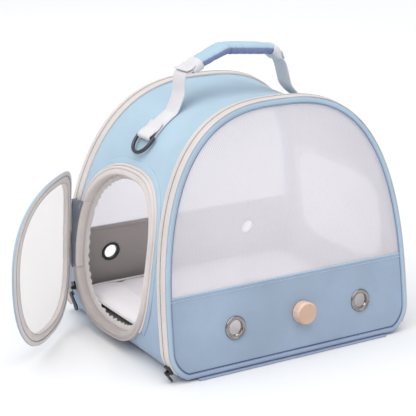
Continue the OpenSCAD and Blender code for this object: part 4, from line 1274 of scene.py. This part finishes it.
def ribbon(name, path, side, width, thick):
    # webbing that follows a line of (x, z), drawn for the left and mirrored for the right
    path = np.asarray(path, float)
    path = smoothLine(path, max(40, int(lengthsAlong(path)[-1] / 1.1)))
    edge = (-1, -0.96, -0.5, 0, 0.5, 0.96, 1)  # the section from edge to edge, as shares of the half width
    section = [(share, -0.25 if abs(share) == 1 else -0.5) for share in edge]
    section += [(-share, -lift) for share, lift in section]
    rows = []
    for (x, z), way in zip(path, headings(path)):
        over = thick * way
        rows.append([(-side * (x - over[1] * lift), carry["y"] + share * width / 2, z + over[0] * lift)
                     for share, lift in section])
    return gridPiece(name, rows, "webbing", loopAcross=True, caps=True)


def makeWebbing(side):
    word = "left" if side < 0 else "right"
    rows = []
    for along, half, high in carry["sleeve"]:
        row = []
        for c, s in around(48):
            x, z = capPoint(side, along + carry["mouth"][side], high * bulge(s, 0.75))
            row.append((-side * x, carry["y"] + half * bulge(c, 0.55), z))
        rows.append(row)
    sleeve = thickened(gridPiece(word + "CapSleeve", rows, "webbing", loopAcross=True), 0.9, 0.0)
    settle(sleeve, "handle", "white_webbing", word + "_handle_cap")
    cap = [capPoint(side, along, off) for along, off in carry["loop"][side]]
    settle(ribbon(word + "HandleCap", cap, side, 26, 1.3), "handle", "white_webbing")
    ringPlace, down = shoulderPoint(carry["ringAngle"], 4.4)
    off = np.array([down[1], -down[0]])  # away from the fabric
    fold = carry["foldAngle"][side]

    def laid(angle, out):  # a place on the wrap, raised where the fabric is drawn up
        place = shoulderPoint(angle, out)[0]
        return tuple(shoulderPoint(angle, out + tentAt(-place[0]))[0] if side > 0 else place)

    path = [capPoint(side, along, off) for along, off in carry["strap"][side]] + list(carry["drop"][side])
    foot = laid(fold, 1.3)
    path.append((foot[0] - 0.3, foot[1] + 1.4))
    for angle in np.linspace(fold + 2.2, 126.5, 6):
        path.append(laid(angle, 1.5))
    for degrees in range(-10, 200, 30):
        a = math.radians(degrees)
        path.append(tuple(ringPlace + carry["ringRadius"] * (-off * math.cos(a) + down * math.sin(a))))
    for lift, back in ((1.0, 6.5), (-0.9, 11), (-1.1, 19)):  # the end is sewn under the strap
        path.append(tuple(ringPlace + off * lift - down * back))
    piece = ribbon(word + "Webbing", path, side, carry["webbing"], carry["webbingThick"])
    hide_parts(word + "_side_strap", word + "_handle_strap")
    bend = Vector((-side * foot[0], carry["y"], jointPlace("handle_tips").z))
    foot, top = bend - Vector((0, 0, 1)), bend + Vector((0, 0, 24))
    foot * mm
    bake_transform(piece)


makeGrip()
for side in (-1, 1):
    makeWebbing(side)
print("handle ready")

# ---- floor: padded mat and foam pad

floorMat = dict(
    low=23.4, high=33.4, half=137.9, front=-111.9, back=110.2, shrink=0.6, edge=0.16, voxel=4.5, pressure=4.0,
    frames=20, reach=1.6, pleats=(-86, -52, -18, 18, 52, 86), pleatDepth=1.9, pleatWidth=3.4,
    pipingHeight=30.7, pipingRadius=1.3)


def matPlace(c, s, grow, reach=1.0):
    # a place round the mat, by how far it lies past the mat's edge
    half, low, high = floorMat["half"], floorMat["front"], floorMat["back"]
    return ((half + grow) * bulge(c, floorMat["edge"]) * reach,
            (low + high) / 2 + ((high - low) / 2 + grow) * bulge(s, floorMat["edge"]) * reach)


def makeMat():
    # made a little small and flat, then blown up by the simulation between its pleats
    middle = (floorMat["low"] + floorMat["high"]) / 2
    half = (floorMat["high"] - floorMat["low"]) / 2 - floorMat["shrink"]
    rows = []
    for c, s in around(220):
        row = []
        for t in np.linspace(-1, 1, 37):  # from the middle of the underside over the edge to the top
            reach = 1 - abs(t) ** 2.2
            height = bulge(min(1, abs(math.sin(t * math.pi / 2)) * 1.6), 0.8)
            x, y = matPlace(c, s, -floorMat["shrink"], reach)
            row.append((x, y, middle + half * math.copysign(height, t)))
        rows.append(row)
    mat = gridPiece("floorMat", rows, "mat", loopAlong=True)
    merged(mat)
    return puffed(mat)


def puffed(piece):
    remesh = piece.modifiers.new("remesh", "REMESH")
    remesh.mode, remesh.voxel_size = "VOXEL", floorMat["voxel"] * mm
    applied(piece)
    middle = (floorMat["low"] + floorMat["high"]) / 2
    held = piece.vertex_groups.new(name="pleats")
    for vertex in piece.data.vertices:
        place = vertex.co / mm
        near = min(abs(place.x - pleat) for pleat in floorMat["pleats"])
        if near < floorMat["pleatWidth"] and place.z > middle:
            vertex.co.z -= floorMat["pleatDepth"] * mm * (1 - (near / floorMat["pleatWidth"]) ** 2) ** 0.5
            held.add([vertex.index], 1.0 if near < 2.4 else 0.5, "REPLACE")
        elif place.z < middle - 3:
            held.add([vertex.index], 0.9, "REPLACE")
    start = np.array([vertex.co[:] for vertex in piece.data.vertices])
    blown = piece.modifiers.new("cloth", "CLOTH")
    setup = blown.settings
    setup.use_pressure, setup.uniform_pressure_force = True, floorMat["pressure"]
    setup.vertex_group_mass, setup.quality, setup.mass = "pleats", 6, 0.2
    setup.tension_stiffness = setup.compression_stiffness = 12
    setup.bending_stiffness = 0.4
    setup.effector_weights.gravity = 0
    blown.collision_settings.use_collision = False
    for frame in range(1, floorMat["frames"] + 1):
        bpy.context.scene.frame_set(frame)
    applied(piece)
    end = np.array([vertex.co[:] for vertex in piece.data.vertices])
    moved = end - start
    size = np.linalg.norm(moved, axis=1, keepdims=True)
    end = start + moved * np.minimum(1, floorMat["reach"] * mm / np.maximum(size, 1e-9))
    piece.data.vertices.foreach_set("co", end.reshape(-1))
    bpy.context.scene.frame_set(1)
    soften = piece.modifiers.new("soften", "SUBSURF")
    soften.levels = soften.render_levels = 1
    applied(piece)
    layer = piece.data.uv_layers.new(name="map") if not piece.data.uv_layers else piece.data.uv_layers[0]
    places = np.empty(len(piece.data.vertices) * 3)
    piece.data.vertices.foreach_get("co", places)
    corners = np.empty(len(piece.data.loops), int)
    piece.data.loops.foreach_get("vertex_index", corners)
    layer.data.foreach_set("uv", places.reshape(-1, 3)[corners][:, :2].reshape(-1))
    if not piece.data.materials:
        piece.data.materials.append(looks["mat"])
    return smoothed(piece)


def merged(piece):
    builder = bmesh.new()
    builder.from_mesh(piece.data)
    bmesh.ops.remove_doubles(builder, verts=builder.verts, dist=0.02 * mm)
    bmesh.ops.dissolve_degenerate(builder, edges=builder.edges, dist=0.001 * mm)
    bmesh.ops.recalc_face_normals(builder, faces=builder.faces)
    builder.to_mesh(piece.data)
    builder.free()


mat = makeMat()
settle(mat, "mat", "mat_fabric", "floor_mat")


def makeMatPiping():
    radius = floorMat["pipingRadius"]
    rows = [[(*matPlace(c, s, radius * across - 1.8), floorMat["pipingHeight"] + radius * up)
             for across, up in around(10)] for c, s in around(260)]
    settle(gridPiece("matPiping", rows, "webbing", loopAlong=True, loopAcross=True), "mat", "mat_fabric")


makeMatPiping()


basePad = dict(middle=13.7, half=6.2, inset=7.6, gap=1, room=18.8)


def makePad():
    rows = []
    for share in np.linspace(0, 1, 46):
        edge = min(1.0, min(share, 1 - share) * 14) ** 0.5
        row = []
        for c, s in around(72):
            z = basePad["middle"] + basePad["half"] * bulge(s, 0.5) * (0.55 + 0.45 * edge)
            x = (outlineX(basePad["inset"], max(z, basePad["inset"] + 0.1)) - basePad["gap"]) * bulge(c, 0.28)
            low, high = facePlane(front, z) + basePad["room"], facePlane(back, z) - basePad["room"]
            row.append((x, low * (1 - share) + high * share, z))
        rows.append(row)
    piece = gridPiece("basePad", rows, "pad", loopAcross=True, caps=True)
    settle(piece, "shell", "foam", "base_pad")


makePad()
for k, pleat in enumerate(floorMat["pleats"]):
    ys = np.linspace(-100, 98, 60)
    line = [(pleat + 0.4 * ripple((0, y, k), 20), y, floorMat["high"] - 2.0) for y in ys]
    settle(threadRow("matStitches" + str(k + 1), line, "paleStitch"), "mat", "mat_fabric")
print("floor ready")

# ---- CAD parts that keep their shape

kept = dict(  # each look, and the nodes that it dresses
    board=("base_board",), steel=("front_stay", "back_stay"), wood=("perch", "front_knob"),
    nickel=("perch_bolt", "door_link"), blackRing=("door_slider", "front_slider", "back_slider"),
    black=("door_pull", "front_pull", "back_pull"), gunmetal=("left_d_ring", "right_d_ring"))
for look, names in kept.items():
    for slotHolder in [holder for name in names for holder in cadNodes[name].material_slots]:
        slotHolder.material = looks[look]
print("CAD parts dressed")
